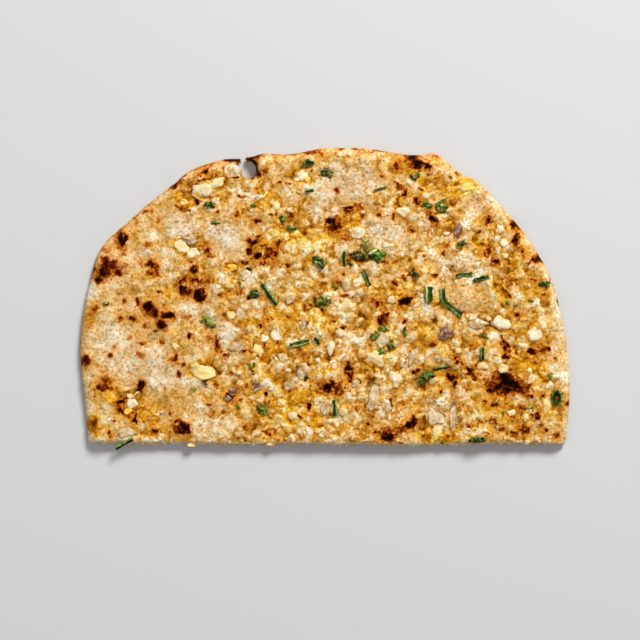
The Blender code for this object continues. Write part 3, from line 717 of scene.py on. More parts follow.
SPOTS_MIDDLE = (
    (405.5, 300.5, 13, 7, 1.0, 30), (411, 298, 5, 4, 0.9), (379, 303.5, 8, 6, 0.8), (373, 301, 6, 5, 0.5),
    (385, 316.5, 10, 8, 1.0, 40), (380, 322, 5, 5, 0.85), (404.5, 322, 3, 3, 0.6), (386, 324, 4, 4, 0.7),
    (424, 257, 5, 4, 0.5), (434.5, 275.5, 8, 6, 0.72), (414, 273.5, 7, 5, 1.0), (404, 278, 5, 10, 0.55, 20),
    (385.5, 263, 9, 5, 0.45, -30), (339, 281, 5, 6, 0.5), (433, 344.5, 11, 7, 0.52), (343, 274, 4, 5, 0.4),
    (455, 360, 11, 7, 0.82, -40), (450, 334, 7, 6, 0.9), (416, 371.7, 8, 7, 0.75), (344, 296, 10, 5, 0.4),
    (454, 380.5, 9, 11, 0.95), (449, 376, 5, 6, 0.8), (469.5, 371, 6, 8, 0.8), (475, 378.5, 7, 6, 0.5),
    (441, 391, 3, 4, 0.6), (424, 386, 8, 6, 0.6), (386.5, 436.5, 10, 9, 1.4), (410.5, 424, 11, 9, 1.0, 35),
    (414, 420.5, 6, 6, 0.8), (401, 428.5, 13, 9, 0.45, 20), (398, 444.5, 12, 2.5, 0.8),
    (388, 434, 18, 14, 0.3),
    (329.5, 387, 11, 8, 1.0, 20), (332, 388, 20, 14, 0.35), (342, 393, 8, 7, 0.5), (348.5, 369, 9, 14, 0.72),
    (349.5, 379, 5, 7, 0.95), (356, 407.5, 8, 5, 0.4), (367.5, 424.5, 6, 3, 1.0, -35), (401, 403, 9, 8, 0.36),
    (391, 404.5, 2.5, 12, 0.75), (374, 432, 12, 2, 0.5), (228.5, 397.5, 8, 9, 0.85), (233, 392, 5, 8, 0.62),
    (238, 401, 6, 4, 0.5), (244.5, 351, 6, 3, 0.95, 30), (265, 344, 5, 6, 0.85), (275, 341, 7, 4, 0.9, -45),
    (261, 326, 8, 6, 0.5), (305, 378, 4, 7, 1.05, -20), (308.3, 406.5, 4, 9, 1.0), (300, 417, 4, 8, 0.7, 60),
    (266.5, 394, 3, 5, 0.7), (269.5, 431.5, 13, 9, 0.45), (232, 372, 5, 4, 0.65), (238, 366, 7, 5, 0.4),
    (217, 341, 4, 9, 0.6), (208, 338, 4, 7, 0.4), (226, 356, 8, 5, 0.5), (343.5, 328, 6, 4, 0.7),
    (333.5, 320.5, 5, 4, 0.55), (369, 345, 3, 4, 0.8), (282, 372, 3, 4, 0.5), (288, 316, 7, 6, 0.35),
    (264, 311, 6, 5, 0.45), (305, 357, 12, 9, 0.3), (319, 385, 10, 7, 0.3), (217.5, 349, 10, 8, 0.42),
    (347, 261, 5, 4, 0.5), (395, 283, 6, 6, 0.5), (246, 386, 8, 7, 0.35), (216, 385, 6, 10, 0.42),
    (211, 417, 6, 5, 0.45), (245, 426, 8, 12, 0.4), (224, 412, 5, 4, 0.4), (259, 389.5, 5, 3, 0.4),
    (250, 297, 6, 5, 0.7), (268, 318, 14, 4, 0.3), (297, 300, 6, 4, 0.4), (312, 287, 5, 4, 0.4),
)  # fmt: skip
SPOTS_RIGHT = (
    (496.5, 386.5, 11, 6, 1.1, -15), (503, 375.5, 8, 9, 1.4), (515, 384.5, 8, 10, 1.3, 20),
    (507, 390.5, 12, 5, 1.1), (504, 383, 8, 6, 0.9), (490, 390, 6, 5, 0.8), (521.5, 390, 5, 7, 1.0),
    (510, 380, 5, 5, 1.0), (486, 382, 8, 6, 0.4), (556, 397, 6, 9, 0.8), (505, 384, 32, 20, 0.36),
    (530, 384, 9, 4, 0.75, 20), (542, 396.5, 7, 4, 0.75), (567.4, 404, 3, 5, 0.7),
    (537, 415.5, 8, 10, 0.6), (524, 429, 14, 9, 0.6, -25), (557, 435.5, 8, 9, 0.45), (500, 371, 6, 5, 1.0),
    (545.5, 431, 3, 3, 0.9), (481, 422, 7, 5, 0.5), (493, 421.5, 7, 10, 0.5, 20), (508, 357, 8, 5, 0.5),
    (506.5, 346, 5, 9, 0.95, 30), (505, 357, 5, 4, 0.8), (531, 351.5, 9, 7, 0.72), (512, 336, 5, 6, 0.5),
    (541, 353, 8, 6, 0.7), (547, 348.5, 7, 5, 0.72), (537, 360.5, 10, 5, 0.45), (517.3, 315.5, 7, 8, 0.95),
    (502.5, 340.5, 4, 5, 0.7), (479, 366, 9, 4, 0.5), (466, 388, 6, 5, 0.5), (485, 402, 7, 4, 0.4),
    (522, 408, 12, 7, 0.4), (502, 429, 9, 6, 0.4), (514, 434, 7, 8, 0.4), (495, 405, 6, 8, 0.5),
    (468, 426, 7, 6, 0.45), (455, 398, 6, 5, 0.4), (541, 339, 4, 3, 0.6), (471, 349, 6, 3, 0.6),
    (536, 443.5, 8, 3, 0.7), (474, 441, 10, 3, 0.5, -30), (555, 359, 5, 3, 0.35), (511, 417, 8, 5, 0.35),
    (529, 396, 10, 5, 0.4), (470, 410, 6, 10, 0.35), (541, 425, 5, 8, 0.35), (486, 435, 8, 5, 0.35),
)  # fmt: skip

# The browned rim: stretches in degrees about the disc's centre, with how far the band behind the
# edge is baked, and how far the edge itself.
BROWNED_RIM = (
    (143, 150, 0.06, 0.16), (134, 143, 0.07, 0.2), (127, 134, 0.08, 0.2), (122, 127, 0.28, 0.3),
    (113, 122, 0.18, 0.2), (109.5, 113, 0.3, 1.2), (104.5, 108.6, 0.5, 1.3), (96.5, 104.5, 0.12, 0.3),
    (91, 96.5, 0.1, 0.12), (85, 88, 0.06, 0.1), (81, 84, 0.06, 0.1), (75, 79, 0.1, 0.1),
    (66, 72, 0.22, 0.06), (60, 66, 0.06, 0.0), (50, 60, 0.04, 0.0), (40, 43, 0.2, 0.5),
    (31, 33.5, 0.2, 0.5), (20.5, 22.5, 0.1, 0.6), (158, 170, 0.1, 0.1), (-3, -1, 0.1, 0.4),
)  # fmt: skip

# Zones of the dough: place, width and height in pixels, and strength. Fat has turned the golden
# ones yellow, dry flour is left on the floury ones, and the smooth ones show no crumbs.
GOLDEN = (
    (183, 199, 22, 26, 1.0), (262, 204.5, 16, 12, 1.0), (275, 203, 12, 10, 0.5), (299, 176.5, 16, 12, 0.6),
    (306, 180, 9, 8, 1.0), (234, 223, 14, 12, 0.5), (277, 235, 26, 10, 0.6), (319, 239, 30, 20, 0.7),
    (166, 292, 9, 16, 0.9), (173.5, 241.5, 10, 9, 0.9), (193, 254, 12, 10, 0.4), (231.5, 266.5, 13, 10, 0.8),
    (260, 190, 12, 14, 0.6), (413, 163, 46, 26, 0.7), (437, 157, 16, 9, 0.5), (462, 189, 32, 20, 0.9),
    (474, 181, 34, 12, 0.6), (337, 190, 13, 10, 0.4), (358, 206, 20, 14, 0.5), (353, 219, 14, 12, 0.8),
    (330, 233, 40, 22, 0.5), (477, 224, 22, 20, 0.8), (481, 243, 28, 26, 1.0), (507, 277.5, 30, 10, 0.7),
    (516, 225, 14, 14, 0.7), (521, 246, 20, 24, 0.6), (390, 263, 18, 12, 0.5), (406, 279, 20, 16, 0.6),
    (391, 290, 60, 20, 0.5), (330, 286, 40, 14, 0.6), (88, 323, 9, 18, 0.5), (86, 361, 17, 15, 0.4),
    (107, 381, 20, 12, 0.7), (110, 395, 16, 16, 0.9), (128, 404, 36, 26, 1.0), (147, 415, 20, 12, 1.0),
    (92, 422, 14, 26, 0.9), (201, 369, 30, 18, 1.0), (199, 360, 24, 8, 0.7), (249, 322.5, 28, 7, 0.9),
    (262, 329, 18, 12, 0.9), (269, 351, 16, 26, 0.8), (217.5, 345, 12, 12, 0.5), (153, 430, 18, 12, 0.4),
    (246, 386, 14, 10, 0.7), (302, 340, 60, 60, 0.4), (294, 405, 40, 40, 0.6), (326, 370, 34, 20, 0.5),
    (393, 351, 60, 30, 0.35), (427, 342, 18, 14, 0.8), (436, 383, 30, 16, 0.5), (516, 346, 22, 14, 0.7),
    (524, 360, 36, 22, 0.9), (541, 365, 20, 18, 0.8), (564, 407, 10, 14, 0.9), (480, 400, 60, 40, 0.6),
    (510, 418, 70, 40, 0.8), (405, 405, 40, 30, 0.5), (269, 432, 18, 14, 0.5), (310, 415, 16, 18, 0.7),
    (345, 425, 40, 26, 0.4), (440, 437, 50, 12, 0.6), (502, 294, 22, 22, 0.5), (531, 291, 24, 16, 0.4),
    (287, 290, 30, 16, 0.5), (319, 316, 34, 18, 0.5), (430, 258, 16, 14, 0.4), (454, 205, 14, 16, 0.4),
    (400, 195, 16, 26, 0.6), (280, 315, 24, 12, 0.7), (240, 372, 12, 12, 0.4), (340, 352, 16, 24, 0.4),
    (98, 262, 16, 30, 0.4), (122, 240, 24, 24, 0.35), (150, 270, 20, 24, 0.3), (215, 172, 40, 12, 0.35),
    (295, 243, 38, 28, 0.7), (268, 214, 32, 20, 0.5), (262, 188, 20, 20, 0.6), (294, 410, 46, 56, 0.6),
    (385, 395, 40, 26, 0.6), (160, 428, 60, 24, 0.4), (475, 250, 26, 24, 0.5), (478, 338, 24, 40, 0.5),
    (538, 380, 24, 44, 0.5), (128, 318, 50, 24, 0.4), (304, 380, 30, 26, 0.4), (425, 185, 30, 30, 0.4),
    (425, 430, 50, 20, 0.4), (420, 375, 30, 20, 0.3), (100, 430, 20, 20, 0.5), (180, 300, 24, 30, 0.3),
)  # fmt: skip
FLOURY = (
    (178, 228, 40, 34, 1.0), (226, 236, 40, 44, 0.9), (246, 275, 16, 22, 0.8), (350, 182, 76, 54, 0.8),
    (385, 236, 76, 44, 0.8), (458, 263, 36, 22, 0.7), (480, 204, 34, 26, 0.7), (445, 275, 30, 24, 0.5),
    (118, 345, 70, 70, 0.6), (160, 370, 66, 40, 1.0), (200, 309, 36, 34, 0.8), (230, 330, 44, 36, 0.7),
    (235, 305, 30, 24, 0.5), (385, 277, 34, 22, 0.5),
    (86, 398, 16, 40, 0.4), (195, 418, 90, 30, 0.3), (559, 330, 18, 110, 0.5), (546, 414, 26, 40, 0.3),
    (170, 260, 14, 50, 0.5), (140, 280, 26, 16, 0.4), (280, 275, 40, 26, 0.4), (320, 210, 30, 20, 0.3),
    (405, 345, 30, 34, 0.4), (350, 300, 40, 30, 0.5), (440, 300, 40, 30, 0.2), (116, 284, 24, 18, 0.6),
    (335, 340, 40, 20, 0.3), (455, 395, 44, 24, 0.5), (380, 420, 44, 20, 0.3), (430, 400, 30, 26, 0.5),
    (500, 240, 20, 50, 0.5), (550, 385, 16, 20, 0.5), (345, 200, 60, 40, 0.4), (244, 195, 22, 20, 0.4),
    (478, 360, 26, 18, 0.5), (300, 190, 30, 20, 0.3), (250, 300, 26, 14, 0.4), (292, 250, 14, 14, 0.4),
)  # fmt: skip
SMOOTH = (
    (110, 260, 110, 130, 1.0), (110, 350, 110, 120, 1.0), (165, 380, 90, 70, 0.9), (100, 420, 60, 50, 0.7),
    (175, 225, 60, 50, 0.8), (215, 205, 50, 40, 0.4), (226, 236, 44, 48, 0.7), (205, 160, 70, 20, 0.8),
    (195, 420, 110, 40, 0.7), (355, 180, 90, 56, 0.6), (290, 165, 70, 22, 0.6), (385, 236, 76, 40, 0.35),
    (471, 297, 44, 36, 1.0), (559, 330, 22, 120, 0.8), (478, 204, 34, 28, 0.8), (200, 308, 44, 44, 0.6),
    (150, 340, 100, 80, 0.8), (520, 200, 30, 40, 0.5), (540, 250, 24, 50, 0.6), (246, 275, 18, 24, 0.7),
    (435, 160, 60, 16, 0.5), (440, 350, 36, 30, 0.6), (556, 430, 24, 30, 0.5), (224, 335, 40, 34, 0.3),
)  # fmt: skip

# Brown cracks: the route of each in pixels, its width in pixels, and how far it is baked.
CRACKS = (
    (((141, 387), (136, 393), (130, 397), (121, 401)), 1.5, 0.9),
    (((119, 402), (119, 407), (123, 413)), 1.8, 0.8),
    (((112, 402), (119, 402)), 1.3, 0.6),
    (((127, 398), (124, 406), (124, 414)), 1.3, 0.6),
    (((135, 414), (136, 419), (137, 423)), 1.7, 1.1),
    (((144, 398), (146, 404), (143, 409)), 1.2, 0.5),
    (((224, 176.5), (231, 178), (238, 176.5)), 1.2, 0.9),
    (((224, 162), (223, 168), (225, 174)), 1.0, 0.4),
    (((175, 206), (180, 211), (190, 211)), 1.6, 0.7),
    (((196.5, 196), (197.5, 204)), 2.6, 1.2),
    (((197, 181), (203, 181), (210, 178)), 1.5, 0.6),
    (((456, 303), (461, 310), (470, 313.5), (482, 311)), 1.1, 0.42),
    (((487, 303), (490, 294), (485, 285)), 1.0, 0.35),
    (((417, 336), (411, 350), (405, 364)), 1.1, 0.45),
    (((447, 343), (455, 354), (463, 364)), 1.4, 0.6),
    (((424, 342), (421, 352)), 1.0, 0.4),
    (((463, 328), (462, 340), (459, 346)), 1.0, 0.35),
    (((500, 334), (505, 343), (506, 350)), 1.6, 0.7),
    (((514, 345), (516, 335), (512, 330)), 1.2, 0.5),
    (((460, 293), (466, 289), (475, 290), (481, 294)), 1.0, 0.28),
    (((462, 300), (470, 297), (479, 301)), 1.0, 0.3),
    (((466, 306), (474, 304), (483, 306)), 0.9, 0.26),
    (((453, 296), (455, 303), (452, 308)), 1.0, 0.3),
)  # fmt: skip

# Openings where the dough has torn over the filling: place, width and height in pixels, and depth
# in mm.
OPENINGS = (
    (183, 197, 19, 16, 1.2), (190, 203, 17, 12, 1.1), (114, 396, 14, 15, 1.1), (127, 403, 22, 22, 1.2),
    (140, 414, 26, 13, 1.1), (152, 420, 16, 9, 0.8), (133, 394, 22, 9, 0.9), (201, 371, 27, 16, 0.5),
    (184, 245, 16, 11, 0.8), (194, 254, 13, 10, 0.7), (262, 205, 15, 11, 0.8), (92, 423, 12, 17, 0.6),
    (232, 267, 14, 10, 0.6), (269, 336, 20, 10, 0.5), (525, 365, 26, 12, 0.5), (167, 293, 8, 14, 0.5),
    (304, 178, 17, 12, 0.6), (356, 217, 14, 9, 0.5), (290, 317, 20, 8, 0.5), (248, 322, 24, 7, 0.5),
)  # fmt: skip
# Flat pieces that show through the dough, each with a thin brown outline that is partly painted shade,
# darkest on its lower left side: place, width and height in pixels, turn in degrees, how pale it is,
# its kind (-1 floury, 0 plain, 1 golden), its outline.
FLAT_PIECES = (
    (141.2, 395.8, 9, 8, 0, 0.55, 1.0, 0.5), (147.5, 416.2, 13, 9, -15, 0.9, 1.0, 0.3),
    (140, 413.5, 9, 7, 0, 0.7, 1.0, 0.2), (111, 398.8, 12, 8, 20, 0.82, 1.0, 0.4),
    (107, 393, 8, 8, 0, 0.65, 1.0, 0.0), (121, 394, 12, 7, -20, 0.5, 1.0, 0.3),
    (157, 409, 14, 9, 10, 0.6, 0.6, 0.3), (91.3, 423.5, 14, 17, -20, 0.3, 0.9, 0.3),
    (152, 420, 12, 7, -10, 0.6, 0.9, 0.2), (233.5, 169.5, 20, 16, -12, 0.84, -1.0, 0.7),
    (238, 179, 9, 3.5, 18, 0.9, -0.5, 0.6), (181, 197.5, 12, 9, 0, 0.52, 1.0, 0.4),
    (190, 204, 10, 6, 15, 0.6, 1.0, 0.3), (187, 210, 16, 4, 10, 0.36, 1.0, 0.2),
    (195, 208.5, 44, 5, 32, 0.92, -0.6, 0.2), (219, 196, 10, 7, 20, 0.42, 0.9, 0.0),
    (265, 205, 11, 10, 0, 0.82, 1.0, 0.3), (261, 189, 8, 10, 0, 0.5, 1.0, 0.2),
    (270, 196, 7, 8, 0, 0.6, 1.0, 0.0), (470, 297, 38, 30, 0, 0.68, 0.05, 0.5),
    (492, 310, 16, 12, 0, 0.7, 0.35, 0.4), (502.3, 323.5, 19, 13, -10, 0.9, -1.0, 0.5),
    (497, 337, 18, 10, 0, 0.88, -0.8, 0.1), (510, 338, 14, 12, 0, 0.6, 0.8, 0.4),
    (427, 316, 15, 13, 0, 0.9, -0.8, 0.1), (414, 320, 14, 18, 0, 0.7, 0.3, 0.3),
    (440, 362, 28, 14, 0, 0.78, 0.05, 0.3), (463, 333, 9, 9, 0, 0.9, -0.3, 0.3),
    (501, 293, 24, 7, -43, 0.48, 0.8, 0.3), (517, 300, 9, 36, 12, 0.84, -0.3, 0.3),
    (521, 334, 12, 18, 0, 0.6, 0.4, 0.3), (452, 358, 4, 14, 38, 0.2, 0.0, 0.0),
    (373, 396, 15, 38, -10, 0.72, 0.0, 0.5), (453.5, 414, 11, 36, 0, 0.72, 0.0, 0.5),
    (306, 179, 12, 9, 0, 0.75, 1.0, 0.3), (356, 217, 12, 9, 0, 0.75, 1.0, 0.3),
    (167, 293, 7, 14, 0, 0.6, 1.0, 0.2), (88, 323, 7, 14, 0, 0.5, 0.9, 0.1),
    (528, 366, 28, 14, 0, 0.56, 1.0, 0.3), (269, 340, 20, 12, 0, 0.72, 0.7, 0.3),
)  # fmt: skip
SCATTERED_PIECES = 230
CURDS = 3400
CURD_RADIUS = (0.9, 5.0)

# The dough's relief and colour are worked out on fine fields over the whole bread.
FIELD_STEP = 0.31
FIELD_COLUMNS, FIELD_ROWS = 860, 530
LEFT, FRONT = -133.0, -80.0
across = LEFT + FIELD_STEP * np.arange(FIELD_COLUMNS)
along = FRONT + FIELD_STEP * np.arange(FIELD_ROWS)
across, along = np.meshgrid(across, along)
ragged_x = across + 0.9 * ripples(across, along, 4.2, 1) + 0.5 * ripples(across, along, 1.5, 2)
ragged_y = along + 0.9 * ripples(across, along, 4.2, 3) + 0.5 * ripples(across, along, 1.5, 4)


def cell_at(x, y):
    """The row and the column of the fields at a place in mm."""
    return int((y - FRONT) / FIELD_STEP), int((x - LEFT) / FIELD_STEP)


def how_far_out(dx, dy, wide, high, turn):
    """How far points lie from the middle of a turned ellipse: 1 on its edge."""
    a = math.radians(turn)
    u = (dx * math.cos(a) + dy * math.sin(a)) / (wide / 2)
    v = (dy * math.cos(a) - dx * math.sin(a)) / (high / 2)
    return np.hypot(u, v)


def patch(x, y, wide, high, turn=0.0, reach=1.0):
    """The fields' window round a place in mm, and how far out its points lie: 1 at the edge."""
    half = max(wide, high) / 2 * reach + 1.5
    columns = slice(*(max(int((v - LEFT) / FIELD_STEP), 0) for v in (x - half, x + half)))
    rows = slice(*(max(int((v - FRONT) / FIELD_STEP), 0) for v in (y - half, y + half)))
    dx, dy = ragged_x[rows, columns] - x, ragged_y[rows, columns] - y
    return (rows, columns), how_far_out(dx, dy, wide, high, turn)


def spread(places, sharpness, reach):
    """A field of soft spots, which add up without passing 1."""
    left = np.ones(across.shape)
    for px, py, wide, high, strength, *turn in places:
        window, out = patch(*mm(px, py), wide * PIXEL, high * PIXEL, *turn, reach=reach)
        left[window] *= 1 - np.clip(strength * np.exp(-(out**sharpness)), 0, 0.999)
    return 1 - left


def blurred(field, reach):
    """The field with everything finer than this reach in mm smoothed away."""
    rows = np.fft.fftfreq(field.shape[0], FIELD_STEP)[:, None]
    columns = np.fft.rfftfreq(field.shape[1], FIELD_STEP)[None, :]
    keep = np.exp(-2 * (math.pi * reach) ** 2 * (rows**2 + columns**2))
    return np.fft.irfft2(np.fft.rfft2(field) * keep, field.shape)


def layers(seed, *sizes_and_shares):
    """Ripples of several sizes laid over each other, spread evenly round 0 with a reach of 1."""
    total = np.zeros(across.shape)
    for k, (size, share) in enumerate(sizes_and_shares):
        total += share * ripples(ragged_x, ragged_y, size, 100 * seed + k)
    return total / total.std()


def veins(seed, size, width):
    """Thin creases that wander between lumps of this size in mm: 1 in each, and 0 beside it."""
    return smooth_step(width, 0.0, np.abs(ripples(ragged_x, ragged_y, size, seed)))


zones = spread(GOLDEN, 2.5, 2.0)
floury = spread(FLOURY, 2.5, 2.0)
edge_gap = np.minimum(rim_distance(across, along), tear_distance(across, along))
at_rim = smooth_step(5.0, 1.5, edge_gap)
crumbly = np.clip(1 - spread(SMOOTH, 3.0, 2.0) - 0.7 * at_rim, 0, 1) * (1 - 0.45 * floury)
spots = SPOTS_LEFT + SPOTS_TOP + SPOTS_MIDDLE + SPOTS_RIGHT
baked = 0.88 * spread(spots, 3.4, 1.8)
halo_places = []
for px, py, wide, high, strength, *turn in spots:
    halo_places.append((px, py, 1.5 * wide + 4, 1.5 * high + 4, 0.1 + 0.2 * min(strength, 1), *turn))
halo = spread(halo_places, 2.0, 2.2)

# The curds under the dough lie packed: how high each stands, how pale and how fat it is.
mounds = np.zeros(across.shape)
paler = np.zeros(across.shape)
fatter = np.zeros(across.shape)
draw = np.random.default_rng(9)
for _ in range(CURDS):
    x, y = draw.uniform(-131, 131), draw.uniform(-77.5, 81.5)
    luck, size, squash, turn, lift, light, fat = draw.uniform(0, 1, 7)
    if luck > crumbly[cell_at(x, y)] + 0.3:
        continue
    radius = CURD_RADIUS[0] + (CURD_RADIUS[1] - CURD_RADIUS[0]) * size**2.0
    window, out = patch(x, y, 2 * radius, 2 * radius * (0.5 + 0.5 * squash), 180 * turn)
    for facing, reach in zip(draw.uniform(0, 2 * math.pi, 3), draw.uniform(0.4, 0.85, 3)):
        dx, dy = ragged_x[window] - x, ragged_y[window] - y
        out = np.maximum(out, (dx * math.cos(facing) + dy * math.sin(facing)) / (radius * reach))
    mound = min(radius / 2.2, 1) * (0.35 + 0.65 * lift) * (1 - out**2.4)
    shows = mound > mounds[window]
    mounds[window] = np.where(shows, mound, mounds[window])
    paler[window] = np.where(shows, light - 0.5, paler[window])
    fatter[window] = np.where(shows, fat - 0.5, fatter[window])

# The dough is high and creamy over the curds, and low, golden and brown in between. Each curd's
# sides carry painted light and shade, and each fold a lighter crest and painted shade along its flanks.
lumpy = layers(50, (15, 1.1), (8, 1.2), (4.5, 0.9), (2.2, 0.5), (1.1, 0.3))
fatty = layers(60, (22, 1.0), (11, 1.0), (6, 0.8), (3, 0.4))
creased = np.maximum(veins(78, 4.2, 0.17), 0.8 * veins(79, 2.4, 0.22))
seams = smooth_step(0.20, 0.02, mounds) * smooth_step(-1.6, 0.4, layers(80, (9, 1.0), (4, 0.8)))
# How each curd's mound faces the light: positive on its lower left, shaded side, negative on its lit side.
rising_y, rising_x = np.gradient(blurred(mounds, 0.25), FIELD_STEP)
painted_shading = np.clip(0.5 * rising_x + 0.85 * rising_y, -0.9, 0.9)
relief = (0.10 + 0.12 * crumbly) * blurred(lumpy, 0.35) + (0.16 + 0.75 * crumbly) * mounds
tone = 0.75 + 0.02 * floury + (0.12 + 0.02 * crumbly) * lumpy + (0.15 + 0.17 * crumbly) * paler
# Painted light and shade: the tone is raised on each curd's upper right side and lowered on its lower left
# side.
tone -= 0.38 * crumbly * seams + (0.12 - 0.08 * crumbly) * creased + (0.08 + 0.18 * crumbly) * painted_shading
golden = 0.85 * zones + 0.04 + 0.05 * crumbly - 0.25 * floury + (0.10 + 0.12 * crumbly) * fatty
golden += crumbly * (0.26 * seams + 0.24 * fatter - 0.05 * lumpy)
for x0, y0, x1, y1, half_width, rise in FOLDS:
    away = line_distance(ragged_x, ragged_y, (mm(x0, y0), mm(x1, y1))) / half_width
    crest = np.exp(-(away**2)) * rise
    # Painted light and shade: each fold's crest is lighter, and a darker line of painted shade runs along
    # each flank.
    tone += 0.16 * crest - 0.28 * rise * np.exp(-(((away - 1.35) / 0.3) ** 2))
    golden += 0.4 * crest

# Specks of toasted cheese, in swarms, brown crescents of painted shade on the curds' lower left sides,
# and blotches where the skin has coloured.
swarms = smooth_step(-0.4, 0.6, layers(70, (11, 1.0), (5, 0.5)))
specks = smooth_step(1.35, 2.2, layers(71, (1.7, 1.0), (1.0, 0.5)))
blotchy = smooth_step(0.5, 2.0, layers(72, (8, 1.0), (3.5, 0.6)))
grains = smooth_step(-0.9, 0.7, layers(73, (2.8, 1.0), (1.5, 0.6)))
baked = np.clip(baked * (1 + (0.7 + 0.3 * crumbly) * (0.9 * grains - 0.5)), 0, 1)
baked = np.maximum(baked, (0.20 + 0.32 * crumbly) * swarms * specks)
# Painted shade: brown crescents on the curds' lower left sides, away from the light.
baked = np.maximum(baked, 0.36 * crumbly * swarms * smooth_step(0.3, 0.85, painted_shading))
baked = np.maximum(baked, (0.20 - 0.09 * crumbly) * blotchy * (1 - 0.7 * floury))
baked = 1 - (1 - baked) * (1 - halo)

# The openings, with their torn lips.
for px, py, wide, high, depth in OPENINGS:
    window, out = patch(*mm(px, py), wide * PIXEL, high * PIXEL, reach=1.6)
    hole = smooth_step(1.15, 0.7, out)
    lip = np.exp(-(((out - 1.05) / 0.22) ** 2))
    relief[window] += 0.25 * lip - depth * hole
    inside = 0.62 + 0.16 * lumpy[window] - 0.5 * creased[window]
    tone[window] += min(depth, 1) * hole * (inside - tone[window]) - 0.2 * lip
    golden[window] = np.maximum(golden[window], 1.2 * hole)
    browned = 0.4 * lip * (depth > 0.65) * smooth_step(-0.8, 0.6, fatty[window])
    baked[window] = np.maximum(baked[window], browned)

# The flat pieces, the ones of the list and then scattered ones where the dough is crumbly.
flat_pieces = [(*mm(px, py), w * PIXEL, h * PIXEL, *rest) for px, py, w, h, *rest in FLAT_PIECES]
while len(flat_pieces) < len(FLAT_PIECES) + SCATTERED_PIECES:
    x, y, wide = draw.uniform(-128, 128), draw.uniform(-76, 80), draw.uniform(2.2, 6.5)
    if draw.uniform() < float(crumbly[cell_at(x, y)]):
        spans = (wide, wide * draw.uniform(0.45, 0.9), draw.uniform(0, 180))
        flat_pieces.append((x, y, *spans, draw.uniform(0.58, 0.96), draw.uniform(-0.6, 0.9), 0.45))
for x, y, wide, high, turn, pale, kind, line in flat_pieces:
    window, out = patch(x, y, wide, high, turn, reach=1.5)
    for facing, reach in zip(draw.uniform(0, 2 * math.pi, 3), draw.uniform(0.6, 0.95, 3)):
        dx, dy = ragged_x[window] - x, ragged_y[window] - y
        towards = dx * math.cos(facing) + dy * math.sin(facing)
        across_it = np.hypot(wide / 2 * math.cos(facing - math.radians(turn)), high / 2)
        out = np.maximum(out, towards / (across_it * reach))
    cover = 0.85 * smooth_step(1.08, 0.88, out)
    outline = line * np.exp(-(((out - 1.06) * min(wide, high) / 2 / 0.42) ** 2))
    # Painted shade: the outline is darkest on the lower left side, away from the light.
    shaded = 0.65 - 0.35 * (0.5 * dx + 0.85 * dy) / np.maximum(np.hypot(dx, dy), 0.1)
    tone[window] += cover * (pale + 0.6 * (tone[window] - 0.75) - tone[window])
    tone[window] -= 0.7 * outline * shaded
    golden[window] += cover * (max(kind, 0) - golden[window])
    floury[window] += cover * (max(-kind, 0) - floury[window])
    baked[window] = np.maximum(baked[window] * (1 - 0.6 * cover), 0.5 * outline * shaded)
    relief[window] += 0.16 * cover - 0.1 * outline
# Painted shade: the dough is darker in its hollows and lighter on its bumps; fat gathers golden in the
# hollows.
hollows = np.clip(blurred(relief, 1.3) - relief, -0.6, 0.6)
tone -= 0.35 * hollows * (0.4 + 0.6 * crumbly)
golden = np.clip(golden + 0.35 * np.clip(hollows, 0, 1) * crumbly, 0, 1)
for route, wide, strength in CRACKS:
    away = line_distance(ragged_x, ragged_y, [mm(*place) for place in route]) / (wide * PIXEL / 2 + 0.15)
    baked = np.maximum(baked, np.clip(strength * np.exp(-(away**2)), 0, 1))
    relief -= 0.3 * min(strength, 1) * np.exp(-(away**2))

# The cut edge, where the dough is pale inside, and the rim, pale where it isn't browned.
at_cut = smooth_step(1.1, 0.4, cut_distance(across, along))
tone += at_cut * (0.92 - tone) + 0.1 * at_rim
baked *= 1 - 0.75 * at_cut
golden *= 1 - 0.6 * np.maximum(at_rim, at_cut)
angle = rim_angle(across, along)
rim_gap = rim_distance(ragged_x, ragged_y)
for start, end, band, edge in BROWNED_RIM:
    stretch = smooth_step(start - 1, start + 1, angle) * smooth_step(end + 1, end - 1, angle)
    browned = band * np.exp(-((rim_gap / 3.4) ** 2)) + edge * np.exp(-((rim_gap / 0.8) ** 2))
    baked = 1 - (1 - baked) * (1 - np.clip(stretch * browned, 0, 0.99))
    golden = np.maximum(golden, 0.2 * stretch * np.exp(-((rim_gap / 4.0) ** 2)))
scorched = smooth_step(mm(246, 0)[0], mm(254, 0)[0], across)
scorched *= smooth_step(1.9, 0.2, tear_distance(ragged_x, ragged_y))
baked = 1 - (1 - baked) * (1 - 0.9 * scorched)


def sample(field, x, y):
    """The field's values at these points, between its own."""
    u = np.clip((np.asarray(x) - LEFT) / FIELD_STEP, 0, field.shape[1] - 1.001)
    v = np.clip((np.asarray(y) - FRONT) / FIELD_STEP, 0, field.shape[0] - 1.001)
    i, j = u.astype(int), v.astype(int)
    u, v = u - i, v - j
    near = field[j, i] * (1 - u) + field[j, i + 1] * u
    far = field[j + 1, i] * (1 - u) + field[j + 1, i + 1] * u
    return near * (1 - v) + far * v


def swells(x, y, size, seed):
    """The soft noise that shapes the dough, at each point."""
    places = zip(np.ravel(x) / size, np.ravel(y) / size)
    return np.array([noise.noise(Vector((a, b, seed))) for a, b in places]).reshape(np.shape(x))


